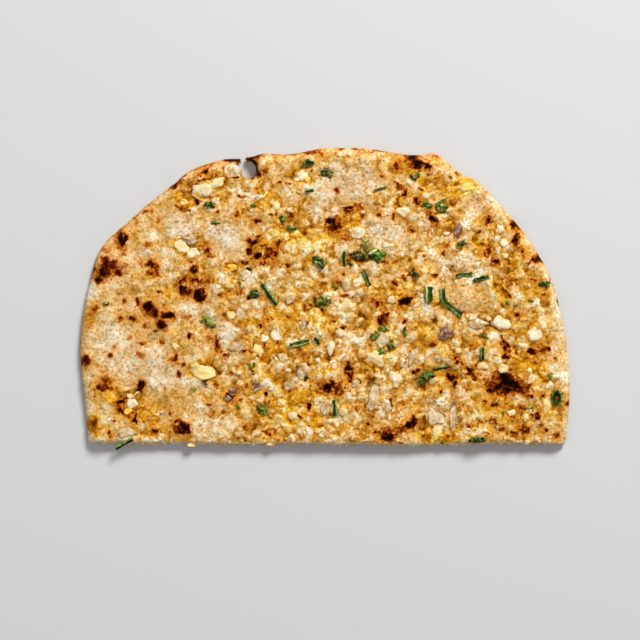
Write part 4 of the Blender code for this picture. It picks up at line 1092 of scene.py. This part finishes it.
def dough_height(x, y):
    """The upper face without its fine relief."""
    height = THICKNESS + sum(reach * swells(x, y, size, 6.5) for size, reach in DOUGH_SWELLS)
    for px, py, radius, rise in BLISTERS:
        bx, by = mm(px, py)
        away = np.hypot(x - bx, y - by) / radius
        height = height + rise * np.clip(1 - away * away, 0, 1) ** 1.5
    for x0, y0, x1, y1, half_width, rise in FOLDS:
        away = line_distance(x, y, (mm(x0, y0), mm(x1, y1))) / half_width
        height = height + rise * np.clip(1 - away * away, 0, 1)
    height = height * (CUT_PRESSED + (1 - CUT_PRESSED) * swell(cut_distance(x, y), CUT_SWELL))
    edge = RIM_SEAM + RIM_EDGE / 2
    rising = np.minimum(swell(rim_distance(x, y), RIM_SWELL_TOP), swell(tear_distance(x, y), TEAR_SWELL))
    return edge + (height - edge) * rising


def upper_goal(x, y, at_cut):
    return at_cut * (POCKET_ROOF + pocket_wave(x, y)) + (1 - at_cut) * (RIM_SEAM - 0.1)


upper = cut_out("upper_dough", UPPER_CELL)
points = points_of(upper)
x, y = points[:, 0].copy(), points[:, 1].copy()
near_edge = smooth_step(0.0, 1.2, inside_distance(x, y))
points[:, 2] = dough_height(x, y) + sample(relief, x, y) * (0.3 + 0.7 * near_edge)
put_points(upper, points)
turn_edge(upper, upper_goal, steps=4, lip=2.5, crumble=0.22)
paint(
    upper,
    baked=carried_down(upper, sample(baked, x, y)),
    tone=carried_down(upper, sample(tone, x, y)),
    golden=carried_down(upper, sample(golden, x, y)),
    floury=carried_down(upper, sample(floury, x, y)),
    crumbly=carried_down(upper, sample(crumbly, x, y)),
)
to_metres(upper)
upper.data.materials.append(DOUGH)
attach(upper, "root")
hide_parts("bread")

# The curds.
# Lumps of fresh curd cheese, white inside and yellow where they have melted, which have broken
# through the upper dough. Fat has run out of them, so that each lies in a golden brown ring, darkened as
# painted shade at its foot.
# Each curd: place, width and height in pixels, turn in degrees, how yellow it is, and its rise.
CURD_LUMPS = (
    (204.5, 189, 19, 14, 18, 0.15, 1.6), (198, 191.5, 10, 13, 0, 0.8, 1.4), (184, 202, 6, 5, 0, 0.5, 0.6),
    (182.5, 246, 16, 12, -20, 0.3, 0.7), (192.5, 254, 13, 10, 10, 0.2, 0.7),
    (299.7, 175.5, 13, 10, 10, 0.1, 1.0),
    (306.8, 179, 7, 6, 0, 1.0, 0.7), (190.8, 445.2, 8, 4, 0, 0.2, 0.6), (275.9, 206, 8, 8, 0, 0.3, 0.8),
    (270, 444.6, 8, 4, 0, 0.3, 0.6), (128, 411, 8, 6, 0, 0.8, 0.6), (214.5, 183.5, 17, 9, 28, 0.35, 1.3),
    (293, 250, 10, 9, 0, 0.2, 0.9), (356, 232, 14, 11, -10, 0.15, 0.8), (356, 216.7, 9, 7, 0, 1.0, 0.7),
    (231.4, 267.7, 10, 8, 0, 1.0, 0.7), (234.7, 281.8, 6, 6, 0, 0.5, 0.6), (405, 210, 16, 12, 0, 0.15, 1.1),
    (425.6, 196, 8, 8, 0, 0.4, 0.8), (463.6, 187.5, 18, 12, 10, 0.6, 1.0), (388.8, 245, 12, 8, 0, 0.2, 0.8),
    (500, 229, 8, 8, 0, 0.1, 0.9), (498, 238, 8, 7, 0, 0.2, 0.8), (504, 243, 7, 7, 0, 0.1, 0.8),
    (499, 251, 7, 8, 0, 0.2, 0.8), (505, 256, 6, 6, 0, 0.3, 0.7), (502.5, 323, 18, 12, -12, 0.05, 1.2),
    (541.3, 326, 12, 10, 0, 0.3, 1.0), (547, 322, 7, 6, 0, 0.6, 0.8), (534.4, 335.7, 14, 15, 0, 0.0, 1.3),
    (503.3, 368.4, 12, 10, 0, 0.4, 1.2), (528.8, 371.4, 7, 6, 0, 0.3, 0.7), (550, 385.7, 10, 9, 0, 0.1, 0.9),
    (484.9, 365.3, 14, 8, 0, 0.4, 0.9), (511.4, 413, 8, 7, 0, 0.3, 0.8), (526, 417, 8, 7, 0, 0.4, 0.8),
    (546, 405, 11, 19, 0, 0.45, 0.8), (527.8, 441.3, 7, 6, 0, 0.3, 0.7), (132, 405.5, 10, 11, 0, 0.05, 1.2),
    (202.5, 371.5, 24, 13, -18, 0.5, 1.5), (195.5, 366, 9, 8, 20, 0.5, 1.3),
    (175.9, 345.4, 9, 8, 0, 0.4, 0.8),
    (278, 336, 14, 14, 20, 0.05, 1.1), (330.8, 349, 8, 15, -8, 0.0, 1.2), (264.3, 338.5, 8, 8, 0, 0.0, 0.9),
    (257.4, 351, 12, 12, 0, 0.4, 0.9), (318, 360, 5, 6, 0, 0.0, 0.7), (276.9, 359, 5, 5, 0, 0.1, 0.7),
    (259.7, 371.8, 6, 16, 0, 0.4, 0.8), (240, 373, 8, 7, 0, 0.4, 0.8), (340, 332.8, 10, 8, 15, 0.15, 0.8),
    (309, 432.7, 9, 12, 0, 0.15, 1.0), (294, 416.6, 12, 10, 0, 0.3, 0.9), (334.3, 367, 6, 6, 0, 0.2, 0.7),
    (376.7, 359, 18, 14, 0, 0.3, 1.3), (394.5, 378.7, 12, 15, 10, 0.05, 1.3),
    (391.7, 299.5, 8, 7, 0, 0.3, 0.8), (416, 305, 9, 8, 0, 0.3, 0.8),
    (447, 232, 8, 7, 0, 0.2, 0.7), (327, 296, 12, 9, 0, 0.3, 0.7), (352, 305, 9, 7, 30, 0.4, 0.7),
    (230, 315, 10, 9, 0, 0.4, 0.7), (282, 402, 8, 8, 0, 0.4, 0.7), (363, 396, 9, 7, 0, 0.3, 0.7),
    (458, 351, 8, 8, 0, 0.4, 0.7), (403, 372, 7, 8, 0, 0.5, 0.6), (344, 411, 9, 7, 0, 0.4, 0.7),
)  # fmt: skip
# No topping stands higher than this.
TOP = 9.8


def beds_of(rows):
    """Where the pieces of a list lie, in mm: x, y, width, height, turn."""
    return [(*mm(px, py), wide * PIXEL, high * PIXEL, turn) for px, py, wide, high, turn, *_ in rows]


def stain_and_shade_ring(made, places, ring, spread_out, tone, golden, baked=0.0):
    """Adds to the masks of the dough in a ring round each place: x, y, width, height, turn. The ring holds
    real browning and fat, and painted shade where its tone is lowered.
    """
    masks = {"tone": tone, "golden": golden, "baked": baked}
    layers_of = {name: made.data.attributes[name].data for name in masks}
    values = {name: np.empty(len(made.data.vertices), np.float32) for name in masks}
    for name, layer in layers_of.items():
        layer.foreach_get("value", values[name])
    points = points_of(made) * 1000
    for x, y, wide, high, turn in places:
        near = np.hypot(points[:, 0] - x, points[:, 1] - y) < max(wide, high)
        dx, dy = points[near, 0] - x, points[near, 1] - y
        dx = dx + 0.35 * ripples(points[near, 0], points[near, 1], 1.8, 80)
        dy = dy + 0.35 * ripples(points[near, 0], points[near, 1], 1.8, 81)
        out = how_far_out(dx, dy, wide, high, turn)
        share = np.exp(-(((out - ring) / spread_out) ** 2))
        for name, amount in masks.items():
            values[name][near] += amount * share
    for name, layer in layers_of.items():
        layer.foreach_set("value", values[name])


def surface(x, y):
    """The height of the bread's upper face."""
    return dough_height(x, y) + sample(relief, x, y)


def follow(body, px, py, share):
    """Bends a body by this share of how the dough's relief rises and falls about its place."""
    here = float(sample(relief, *mm(px, py)))
    body[:, 2] += share * (sample(relief, body[:, 0], body[:, 1]) - here)


def settle(body, rise):
    """Lowers a body until it stands this high above the dough, and tells how far each point does."""
    ground = surface(body[:, 0], body[:, 1])
    above = body[:, 2] - ground
    near_top = np.argsort(body[:, 2])[-40:]
    body[:, 2] -= above[near_top].mean() - rise
    body[:, 2] -= max(body[:, 2].max() - TOP, 0)
    return body[:, 2] - ground


def make_curd():
    """Curd cheese: white or yellow with a soft mottle, golden and brown low down, where it has browned, with
    painted shade at its foot.
    """
    material, tree, shader, place = new_material("curd_cheese", 0.42, subsurface=0.3)
    shader.inputs["Specular IOR Level"].default_value = 0.35
    mottle = cloud(tree, place, 2.6, detail=4.0)
    fine = cloud(tree, place, 0.9, detail=3.0)
    kind = shifted(tree, mask(tree, "yellow"), mottle, 0.9)
    colour = ramp(
        tree,
        kind,
        (0.0, rgb(240, 224, 194)),
        (0.3, rgb(243, 216, 162)),
        (0.6, rgb(250, 210, 110)),
        (0.9, rgb(248, 188, 54)),
    )
    # The low mask browns the curd near the dough, with painted shade at its foot.
    low = shifted(tree, shifted(tree, mask(tree, "low"), mottle, 1.5), fine, 0.9)
    colour = mix(tree, ramp(tree, low, (0.1, 0.0), (0.6, 0.85)), colour, rgb(234, 186, 112))
    colour = mix(tree, ramp(tree, low, (0.75, 0.0), (1.05, 0.7)), colour, rgb(160, 96, 30))
    tree.links.new(colour, shader.inputs["Base Color"])
    add_bump(tree, shader, fine, 0.6, 0.0006)
    return material


CURD = make_curd()
draw = np.random.default_rng(30)
bpy.ops.mesh.primitive_ico_sphere_add(subdivisions=4, radius=1)
ball, ball_faces = shape_of(bpy.context.object)
bodies, yellows, low_brown_and_shade = [], [], []
for px, py, wide, high, turn, yellow, rise in CURD_LUMPS:
    body = broken(ball, draw, cuts=3, bumps=0.3)
    half = 0.5 * rise + 0.9
    body = placed(body, *mm(px, py), 0.0, turn, 0.6 * wide * PIXEL, 0.6 * high * PIXEL, half)
    follow(body, px, py, 0.7)
    above = settle(body, 0.6 * rise)
    bodies.append(body)
    yellows.append(np.full(len(body), yellow))
    # Low down, near the dough, the curd turns golden and brown: browning with painted shade at its foot.
    low_brown_and_shade.append(smooth_step(0.6 * rise, 0.0, above))
join_copies("curds", ball_faces, bodies, CURD, "cheese", yellow=yellows, low=low_brown_and_shade)
# A golden ring round each curd, from its fat, darkened as painted shade at its foot.
stain_and_shade_ring(upper, beds_of(CURD_LUMPS), ring=1.15, spread_out=0.35, tone=-0.15, golden=0.5)

# The crumbs.
# Small crumbs of curd cheese, creamy or golden. They have come up out of the filling through the
# thin upper dough, and stick in it and on it.
CRUMBS = 420
CRUMB_RADIUS = (0.5, 1.6)
draw = np.random.default_rng(31)
bodies, tones, goldens = [], [], []
while len(bodies) < CRUMBS:
    x, y = draw.uniform(-129, 129), draw.uniform(-76, 80)
    if inside_distance(np.array([x]), np.array([y]))[0] < 1.5:
        continue
    if draw.uniform() > float(sample(crumbly, x, y)) + 0.06 - 3 * float(sample(baked, x, y)):
        continue
    radius = CRUMB_RADIUS[0] + (CRUMB_RADIUS[1] - CRUMB_RADIUS[0]) * draw.uniform() ** 1.6
    body = broken(grain, draw, cuts=6, bumps=0.5)
    sizes = radius * draw.uniform((0.8, 0.45, 0.35), (1.5, 1.0, 0.6))
    z = float(surface(np.array([x]), np.array([y]))[0]) - 0.12 * radius
    bodies.append(placed(body, x, y, z, draw.uniform(0, 360), *sizes))
    light = 0.5 * float(sample(tone, x, y)) + 0.38 + draw.uniform(-0.2, 0.2)
    tones.append(np.full(len(body), light) + 0.35 * np.minimum(body[:, 2], 0.1))
    goldens.append(np.full(len(body), float(sample(golden, x, y)) + draw.uniform(-0.25, 0.15)))
join_copies("crumbs", grain_faces, bodies, DOUGH, "cheese", tone=tones, golden=goldens)

# The onion.
# Slivers of onion, fried soft and glassy, ribbed along their length, with brown or green edges.
# They lie flat on the upper dough, and melted cheese and fat hold them.
# Each sliver: place, width and height in pixels, turn in degrees, how green its edge is.
ONION_SLIVERS = (
    (237.9, 346.6, 14, 12, 0, 0.0), (302, 370.7, 17, 14, 20, 0.3), (289.5, 385.6, 13, 10, 0, 0.0),
    (282.6, 358, 10, 9, 0, 0.0), (256.8, 387.3, 9, 8, 0, 0.0), (458, 230.5, 10, 13, 0, -1.0),
    (446.5, 333, 15, 15, 0, -1.0), (477.5, 323.6, 19, 9, 0, 0.2), (413.5, 355.8, 9, 20, -35, 0.2),
    (373, 395.9, 13, 35, -10, 0.5), (387, 406, 11, 13, 0, 0.3), (435.3, 416.6, 21, 17, 0, 1.0),
    (453.6, 414, 9, 34, 0, 0.4), (437.6, 359, 9, 8, 0, 0.0), (433, 381, 9, 9, 0, 0.0),
    (356, 383, 9, 9, 0, 0.2), (323.4, 408.5, 6, 16, 0, 0.6), (190, 239.5, 14, 10, 0, 0.2),
    (126.5, 432.0, 18, 10, 8, 0.5), (383, 340, 12, 17, -20, 0.8), (245, 275, 10, 13, 0, 0.6),
    (290, 300, 12, 8, 30, 0.1), (303, 325, 9, 12, 10, 0.1), (346, 287, 10, 8, -20, 0.1),
    (256.5, 385, 8, 9, 20, -1.0), (232, 392, 8, 10, 0, -1.0), (228, 399, 9, 7, 10, -1.0),
)  # fmt: skip


def make_onion():
    """Fried onion: pale, glassy and wet, with ribs, and darker at its edges."""
    material, tree, shader, place = new_material("fried_onion", 0.28, subsurface=0.2)
    shader.inputs["Specular IOR Level"].default_value = 0.4
    mottle = cloud(tree, place, 2.2, detail=4.0)
    ribs = mask(tree, "ribs")
    tone = maths(tree, "ADD", 0.47, maths(tree, "MULTIPLY", mask(tree, "green"), 0.25))
    tone = shifted(tree, shifted(tree, tone, mottle, 1.7), ribs, 0.12)
    colour = ramp(
        tree,
        tone,
        (0.1, rgb(146, 102, 46)),
        (0.35, rgb(188, 150, 98)),
        (0.6, rgb(213, 183, 138)),
        (0.9, rgb(240, 222, 186)),
    )
    rind = mix(tree, mask(tree, "green"), rgb(120, 64, 12), rgb(84, 78, 24))
    edge = shifted(tree, mask(tree, "edge"), mottle, 0.7)
    colour = mix(tree, ramp(tree, edge, (0.38, 0.0), (0.72, 0.9)), colour, rind)
    purple = maths(tree, "MULTIPLY", mask(tree, "purple"), ramp(tree, mottle, (0.4, 1.0), (0.62, 0.55)))
    colour = mix(tree, purple, colour, rgb(104, 50, 50))
    tree.links.new(colour, shader.inputs["Base Color"])
    add_bump(tree, shader, ribs, 0.4, 0.0004)
    return material


ONION = make_onion()
draw = np.random.default_rng(32)
bodies, ribs, edges, greens, purples = [], [], [], [], []
for px, py, wide, high, turn, green in ONION_SLIVERS:
    angle_round = np.arctan2(ball[:, 1], ball[:, 0])
    corners = draw.uniform(0, 2 * math.pi, 4)
    angular = sum(0.09 * np.sin((k + 2) * angle_round + corner) for k, corner in enumerate(corners))
    body = ball.copy()
    body[:, :2] *= (1 + angular)[:, None]
    for facing in draw.uniform(0, 2 * math.pi) + np.array((0, 1.7, 3.3)):
        towards = np.array((math.cos(facing), math.sin(facing)))
        over = np.maximum(body[:, :2] @ towards - draw.uniform(0.5, 0.8), 0)
        body[:, :2] -= 0.9 * over[:, None] * towards
    along_it = body[:, 0] if high > wide else body[:, 1]
    rib = 0.5 + 0.5 * np.sin(along_it * draw.uniform(9, 13) + 0.6 * body[:, 2])
    rib = 0.5 + (rib - 0.5) * (1.0 if max(wide, high) > 2.5 * min(wide, high) else 0.25)
    body = placed(body, *mm(px, py), 0.0, turn, 0.6 * wide * PIXEL, 0.6 * high * PIXEL, 1.0)
    follow(body, px, py, 0.8)
    above = settle(body, 0.5)
    bodies.append(body)
    ribs.append(rib)
    edges.append(smooth_step(0.42, 0.0, above))
    greens.append(np.full(len(body), max(green, 0.0)))
    purples.append(np.full(len(body), 0.95 if green < 0 else 0.0))
marks = {"ribs": ribs, "edge": edges, "green": greens, "purple": purples}
join_copies("onion_slivers", ball_faces, bodies, ONION, "cheese", **marks)
# A darker ring round each sliver: a brown edge together with painted shade at its foot.
stain_and_shade_ring(upper, beds_of(ONION_SLIVERS), ring=1.05, spread_out=0.25, tone=-0.15, golden=0.15)

# The chives.
# Hollow stalks of chive, cut short and softened by the heat, dark green, with a painted highlight along one
# side.
# They lie half sunk in the upper dough, which has baked round them.
# Each stalk: its route in pixels, its width in pixels, and how pale it is.
CHIVES = (
    (((262, 283), (269, 294), (277, 305)), 5.0, 0.35),
    (((442, 288), (442.7, 300.7), (451.3, 307.5), (462.2, 315.6)), 5.5, 0.4),
    (((289.5, 346), (300, 343.5), (310, 340.8)), 5.0, 0.7),
    (((314.8, 337), (317, 340), (319.4, 344)), 4.0, 0.2),
    (((334.9, 399.4), (335.2, 408), (335.4, 416.6)), 4.0, 0.4),
    (((428.5, 286.5), (428.5, 294), (428.5, 302)), 8.0, 0.7),
    (((481.8, 347), (481.8, 353.5), (481.8, 360)), 4.0, 0.3),
    (((115.0, 448.6), (124, 444), (133.5, 438.4)), 4.0, 0.4),
    (((362.8, 269.8), (366.5, 278), (369.3, 286)), 4.0, 0.4),
    (((345, 251), (344.5, 258), (345, 265)), 4.0, 0.4),
    (((473, 281), (482, 278.5), (489, 277)), 4.5, 0.15),
    (((456, 276), (465, 274.7), (473, 274)), 4.0, 0.4),
    (((434, 369), (441, 367.5), (448, 367)), 3.0, 0.3),
    (((375, 191), (380, 189), (386, 188)), 2.4, 0.3),
    (((305, 192), (309.5, 190.7), (314, 190)), 3.0, 0.4),
    (((556, 390), (560, 394), (560, 401), (556, 404.5), (552.5, 401), (552.5, 394), (556, 390)), 4.2, 0.2),
)
STALK_STEPS = 16


def make_green():
    """Chives and herbs: deep green with paler veins, painted highlights carried in the pale mask, and a wet
    shine.
    """
    material, tree, shader, place = new_material("green_herb", 0.35)
    shader.inputs["Specular IOR Level"].default_value = 0.2
    mottle = cloud(tree, place, 1.3, detail=4.0, roughness=0.6)
    tone = shifted(tree, mask(tree, "pale"), mottle, 1.3)
    colour = ramp(
        tree,
        tone,
        (0.0, rgb(6, 9, 0)),
        (0.22, rgb(18, 34, 0)),
        (0.46, rgb(50, 82, 0)),
        (0.70, rgb(106, 140, 20)),
        (0.95, rgb(210, 214, 140)),
    )
    fried = ramp(tree, cloud(tree, place, 2.4, detail=4.0), (0.50, 0.0), (0.64, 0.85))
    fried = maths(tree, "MULTIPLY", mask(tree, "fried"), fried)
    colour = mix(tree, fried, colour, rgb(160, 122, 56))
    tree.links.new(colour, shader.inputs["Base Color"])
    add_bump(tree, shader, mottle, 0.5, 0.0004)
    return material


GREEN = make_green()
bpy.ops.mesh.primitive_circle_add(vertices=10, radius=1)
stalk = bpy.context.object
bpy.ops.object.mode_set(mode="EDIT")
for _ in range(STALK_STEPS):
    bpy.ops.mesh.extrude_region_move(TRANSFORM_OT_translate={"value": (0, 0, 1 / STALK_STEPS)})
for end, inwards_by in ((1.0, -0.03), (0.0, 0.03)):
    bpy.ops.mesh.select_all(action="DESELECT")
    bpy.ops.object.mode_set(mode="OBJECT")
    for vertex in stalk.data.vertices:
        vertex.select = abs(vertex.co.z - end) < 0.001
    bpy.ops.object.mode_set(mode="EDIT")
    bpy.ops.mesh.select_mode(type="VERT")
    bpy.ops.mesh.extrude_region_move()
    bpy.ops.transform.resize(value=(0.6, 0.6, 1))
    bpy.ops.mesh.extrude_region_move(TRANSFORM_OT_translate={"value": (0, 0, inwards_by)})
    bpy.ops.transform.resize(value=(0.8, 0.8, 1))
    bpy.ops.mesh.edge_face_add()
bpy.ops.mesh.select_all(action="SELECT")
bpy.ops.mesh.normals_make_consistent(inside=False)
bpy.ops.object.mode_set(mode="OBJECT")
stalk, stalk_faces = shape_of(stalk)


def on_route(places, shares):
    """The points at these shares of a route through places, rounded at its bends."""
    places = np.array(places, float)
    lengths = np.hypot(*np.diff(places, axis=0).T)
    at = np.concatenate(([0], np.cumsum(lengths))) / lengths.sum()
    soft = np.linspace(-0.08, 0.08, 5)
    shares = np.clip(shares[:, None] + soft[None], 0, 1)
    return np.stack([np.interp(shares, at, places[:, k]).mean(1) for k in (0, 1)], axis=1)


draw = np.random.default_rng(33)
bodies, paleness_and_highlights = [], []
for route, wide, pale in CHIVES:
    shares = np.clip(stalk[:, 2], 0, 1)
    route = [mm(*place) for place in route]
    spot = on_route(route, shares)
    ahead = on_route(route, shares + 0.04) - on_route(route, shares - 0.04)
    ahead /= np.hypot(*ahead.T)[:, None]
    reach = wide * PIXEL / 2 * (1.0 + 0.12 * np.sin(9 * shares + draw.uniform(0, 6)))
    x = spot[:, 0] - ahead[:, 1] * stalk[:, 0] * reach
    y = spot[:, 1] + ahead[:, 0] * stalk[:, 0] * reach
    bed = surface(spot[:, 0], np.maximum(spot[:, 1], CUT_Y + 0.4))
    stops = np.linspace(0, 1, 9)
    bed = np.interp(shares, stops, [bed[np.abs(shares - stop).argmin()] for stop in stops])
    z = np.minimum(bed + 0.35 + 0.6 * stalk[:, 1] * reach + 0.25 * reach, TOP)
    bodies.append(np.stack((x, y, z), axis=1))
    # Painted highlight: a pale stripe along one side of each stalk.
    lit = stalk[:, 0] * (-1 if draw.uniform() < 0.4 else 1)
    shine = smooth_step(-0.1, 0.45, lit) * smooth_step(1.0, 0.75, lit)
    paleness_and_highlights.append(0.16 + 0.22 * pale + (0.4 + 0.5 * pale) * shine)
join_copies("chives", stalk_faces, bodies, GREEN, "cheese", pale=paleness_and_highlights)

# The herbs.
# Torn leaves of coriander, cooked dark in places, curled and creased, in small heaps of shreds.
# The fat on the upper dough holds them.
# Each heap: place, width and height in pixels, turn in degrees, and how pale it is. A shred's
# half length and half width have the limits below, in mm.
HERBS = (
    (210, 205, 10, 7, 20, 0.45), (216, 222, 7, 5, 0, 0.8), (254, 205, 5, 4, 0, 0.3),
    (307, 163.6, 12, 7, 0, 0.4), (328, 172, 14, 6, 10, 0.4), (282.5, 218, 6, 8, 0, 0.5),
    (290, 228, 10, 6, 0, 0.8), (319, 262, 13, 9, -30, 0.3), (351, 264, 5, 5, 0, 0.2),
    (254, 293.7, 10, 8, 30, 0.4), (250.5, 297, 5, 5, 0, 0.1), (415, 176.6, 8, 8, 0, 0.35),
    (426.7, 204.8, 10, 5, 0, 0.35), (442, 207, 10, 13, -20, 0.6), (461.4, 245, 11, 7, 20, 0.15),
    (366, 245, 10, 8, 0, 0.7), (375.8, 255.7, 19, 10, 0, 0.5), (358.4, 255.7, 12, 8, 0, 0.05),
    (413.7, 273, 9, 8, 0, 0.1), (543.5, 284.7, 10, 7, 0, 0.4), (531.6, 301.5, 5, 5, 0, 0.3),
    (507.7, 304, 5, 4, 0, 0.4), (515.3, 305, 4, 4, 0, 0.4), (335.4, 287.5, 5, 4, 0, 0.3),
    (374.4, 336, 10, 7, 40, 0.3), (383.6, 328, 9, 6, -20, 0.4), (390.5, 344, 7, 11, 20, 0.25),
    (382.5, 351, 9, 7, 0, 0.3), (404.8, 331.7, 4, 8, 0, 0.3), (485, 336, 8, 5, 0, 0.4),
    (426, 376, 18, 8, 40, 0.2), (107, 304, 8, 4, 0, 0.4), (155.8, 330.5, 6, 3, 0, 0.4),
    (208, 321, 15, 4, -39, 0.4), (204.6, 382, 6, 6, 0, 0.15), (193, 389.6, 6, 4, 0, 0.8),
    (322.8, 301, 14, 9, 0, 0.45), (322, 308, 6, 5, 0, 0.0), (252.8, 365.5, 6, 5, 0, 0.3),
    (253.9, 373, 5, 5, 0, 0.3), (263, 409.7, 8, 14, -15, 0.4), (257.4, 407.4, 5, 5, 0, 0.1),
    (305, 377.6, 3, 6, 0, 0.05), (236.7, 407, 5, 4, 0, 0.5), (477.7, 439, 14, 6, 15, 0.15),
    (443.3, 442.5, 5, 3, 0, 0.3), (550, 374.5, 4, 6, 0, 0.5), (503.3, 412, 5, 5, 0, 0.5),
    (530.8, 408, 5, 5, 0, 0.5), (249, 269, 5, 3, 0, 0.5), (240, 283, 3, 6, 0, 0.4),
)  # fmt: skip
SHRED_AREA = 12.0
SHRED_LONGEST = 4.0
SHRED_WIDEST = 1.3

bpy.ops.mesh.primitive_grid_add(x_subdivisions=8, y_subdivisions=2, size=2)
shred = bpy.context.object
bpy.ops.object.mode_set(mode="EDIT")
bpy.ops.mesh.select_all(action="SELECT")
bpy.ops.mesh.extrude_region_move(TRANSFORM_OT_translate={"value": (0, 0, 1)})
bpy.ops.mesh.select_all(action="SELECT")
bpy.ops.mesh.normals_make_consistent(inside=False)
bpy.ops.object.mode_set(mode="OBJECT")
shred, shred_faces = shape_of(shred)

draw = np.random.default_rng(34)
bodies, paleness_and_highlights, fried = [], [], []
for px, py, wide, high, turn, pale in HERBS:
    for _ in range(max(2, round(wide * high / SHRED_AREA))):
        away, at = math.sqrt(draw.uniform(0, 0.4)), draw.uniform(0, 2 * math.pi)
        u, v = away * math.cos(at) * wide * PIXEL / 2, away * math.sin(at) * high * PIXEL / 2
        a = math.radians(turn)
        x, y = mm(px, py)
        x, y = x + u * math.cos(a) - v * math.sin(a), y + u * math.sin(a) + v * math.cos(a)
        length = draw.uniform(0.65, 1.05) * (0.75 * max(wide, high) + 1.0) * PIXEL / 2 + 0.3
        length = min(length, SHRED_LONGEST)
        width = min(draw.uniform(0.24, 0.46) * length, SHRED_WIDEST)
        outline = np.sqrt(np.clip(1.04 - np.abs(shred[:, 0]) ** 2.6, 0.04, 1))
        ragged = 1 + 0.34 * np.sin(draw.uniform(5, 9) * shred[:, 0] + draw.uniform(0, 6))
        side = shred[:, 1] * width * outline * ragged
        side += draw.uniform(-0.25, 0.25) * length * (1 - shred[:, 0] ** 2)
        body = np.stack((shred[:, 0] * length, side, 0.22 * shred[:, 2]), 1)
        curl, bend = draw.uniform(-0.35, 0.45), draw.uniform(-0.2, 0.1)
        lean, tip = draw.normal(0, 0.2, 2)
        body[:, 2] += curl * (shred[:, 1] * width) ** 2 + bend * body[:, 0] ** 2 / length
        body[:, 2] += lean * shred[:, 1] * width + tip * body[:, 0]
        slender = max(wide, high) > 1.3 * min(wide, high)
        facing = turn + (90 if high > 1.3 * wide else 0)
        facing = facing + draw.normal(0, 22) if slender else draw.uniform(0, 360)
        z = float(surface(np.array([x]), np.array([y]))[0]) + draw.uniform(0.1, 0.6)
        body = placed(body, x, y, z, facing, 1, 1, 1)
        ground = surface(body[:, 0], body[:, 1])
        body[:, 2] = np.clip(body[:, 2], ground - 0.1, TOP)
        bodies.append(body)
        shade = 0.12 + 0.55 * pale + draw.normal(0, 0.18)
        # Each shred is paler on its upper face than below, a painted highlight, and paler towards its sides.
        paleness_and_highlights.append(shade + 0.16 * np.abs(shred[:, 1]) + 0.1 * (shred[:, 2] - 0.5))
        fried.append(np.ones(len(body)))
join_copies("herbs", shred_faces, bodies, GREEN, "cheese", pale=paleness_and_highlights, fried=fried)
# Painted shadow: a darker ring round each heap where it lies on the dough.
stain_and_shade_ring(upper, beds_of(HERBS), ring=0.9, spread_out=0.45, tone=-0.22, golden=0.1, baked=0.04)

# The floor, the light and the camera.
# The photograph was taken from straight above, with soft daylight from its upper right.
FRAME_WIDTH = 640 * PIXEL
FRAME_MIDDLE_PX = (320, 320)
CAMERA_HEIGHT = 950.0
SENSOR = 36.0
FLOOR_SIZE = 4
FLOOR_Z = -0.0002
SKY_STRENGTH = 0.34

bpy.ops.mesh.primitive_plane_add(size=FLOOR_SIZE, location=(0, 0, FLOOR_Z))
floor = bpy.context.object
floor.name = "floor"
floor_material, _, shader, _ = new_material("pale_floor", 0.7)
shader.inputs["Base Color"].default_value = rgb(208, 208, 209)
floor.data.materials.append(floor_material)


def add_light(name, position, size, power, colour):
    data = bpy.data.lights.new(name, "AREA")
    data.shape = "DISK"
    data.size = size
    data.energy = power
    data.color = colour
    made = bpy.data.objects.new(name, data)
    bpy.context.scene.collection.objects.link(made)
    made.location = position
    made.rotation_euler = Vector(position).to_track_quat("Z", "Y").to_euler()


add_light("window", (0.78, 1.50, 1.46), 0.77, 57.0, (0.98, 0.985, 0.965))
add_light("bounce", (-0.8, -0.3, 0.9), 0.9, 1.3, (1.0, 0.99, 0.97))

world = bpy.data.worlds.new("studio")
bpy.context.scene.world = world
world.use_nodes = True
world.node_tree.nodes["Background"].inputs["Color"].default_value = (1.0, 1.0, 1.0, 1.0)
world.node_tree.nodes["Background"].inputs["Strength"].default_value = SKY_STRENGTH

camera_data = bpy.data.cameras.new("camera")
camera = bpy.data.objects.new("camera", camera_data)
bpy.context.scene.collection.objects.link(camera)
view_x, view_y = mm(*FRAME_MIDDLE_PX)
camera.location = (view_x * 0.001, view_y * 0.001, CAMERA_HEIGHT * 0.001)
camera_data.sensor_width = SENSOR
camera_data.lens = SENSOR * (CAMERA_HEIGHT - THICKNESS) / FRAME_WIDTH
bpy.context.scene.camera = camera
bpy.context.scene.view_settings.view_transform = "Standard"
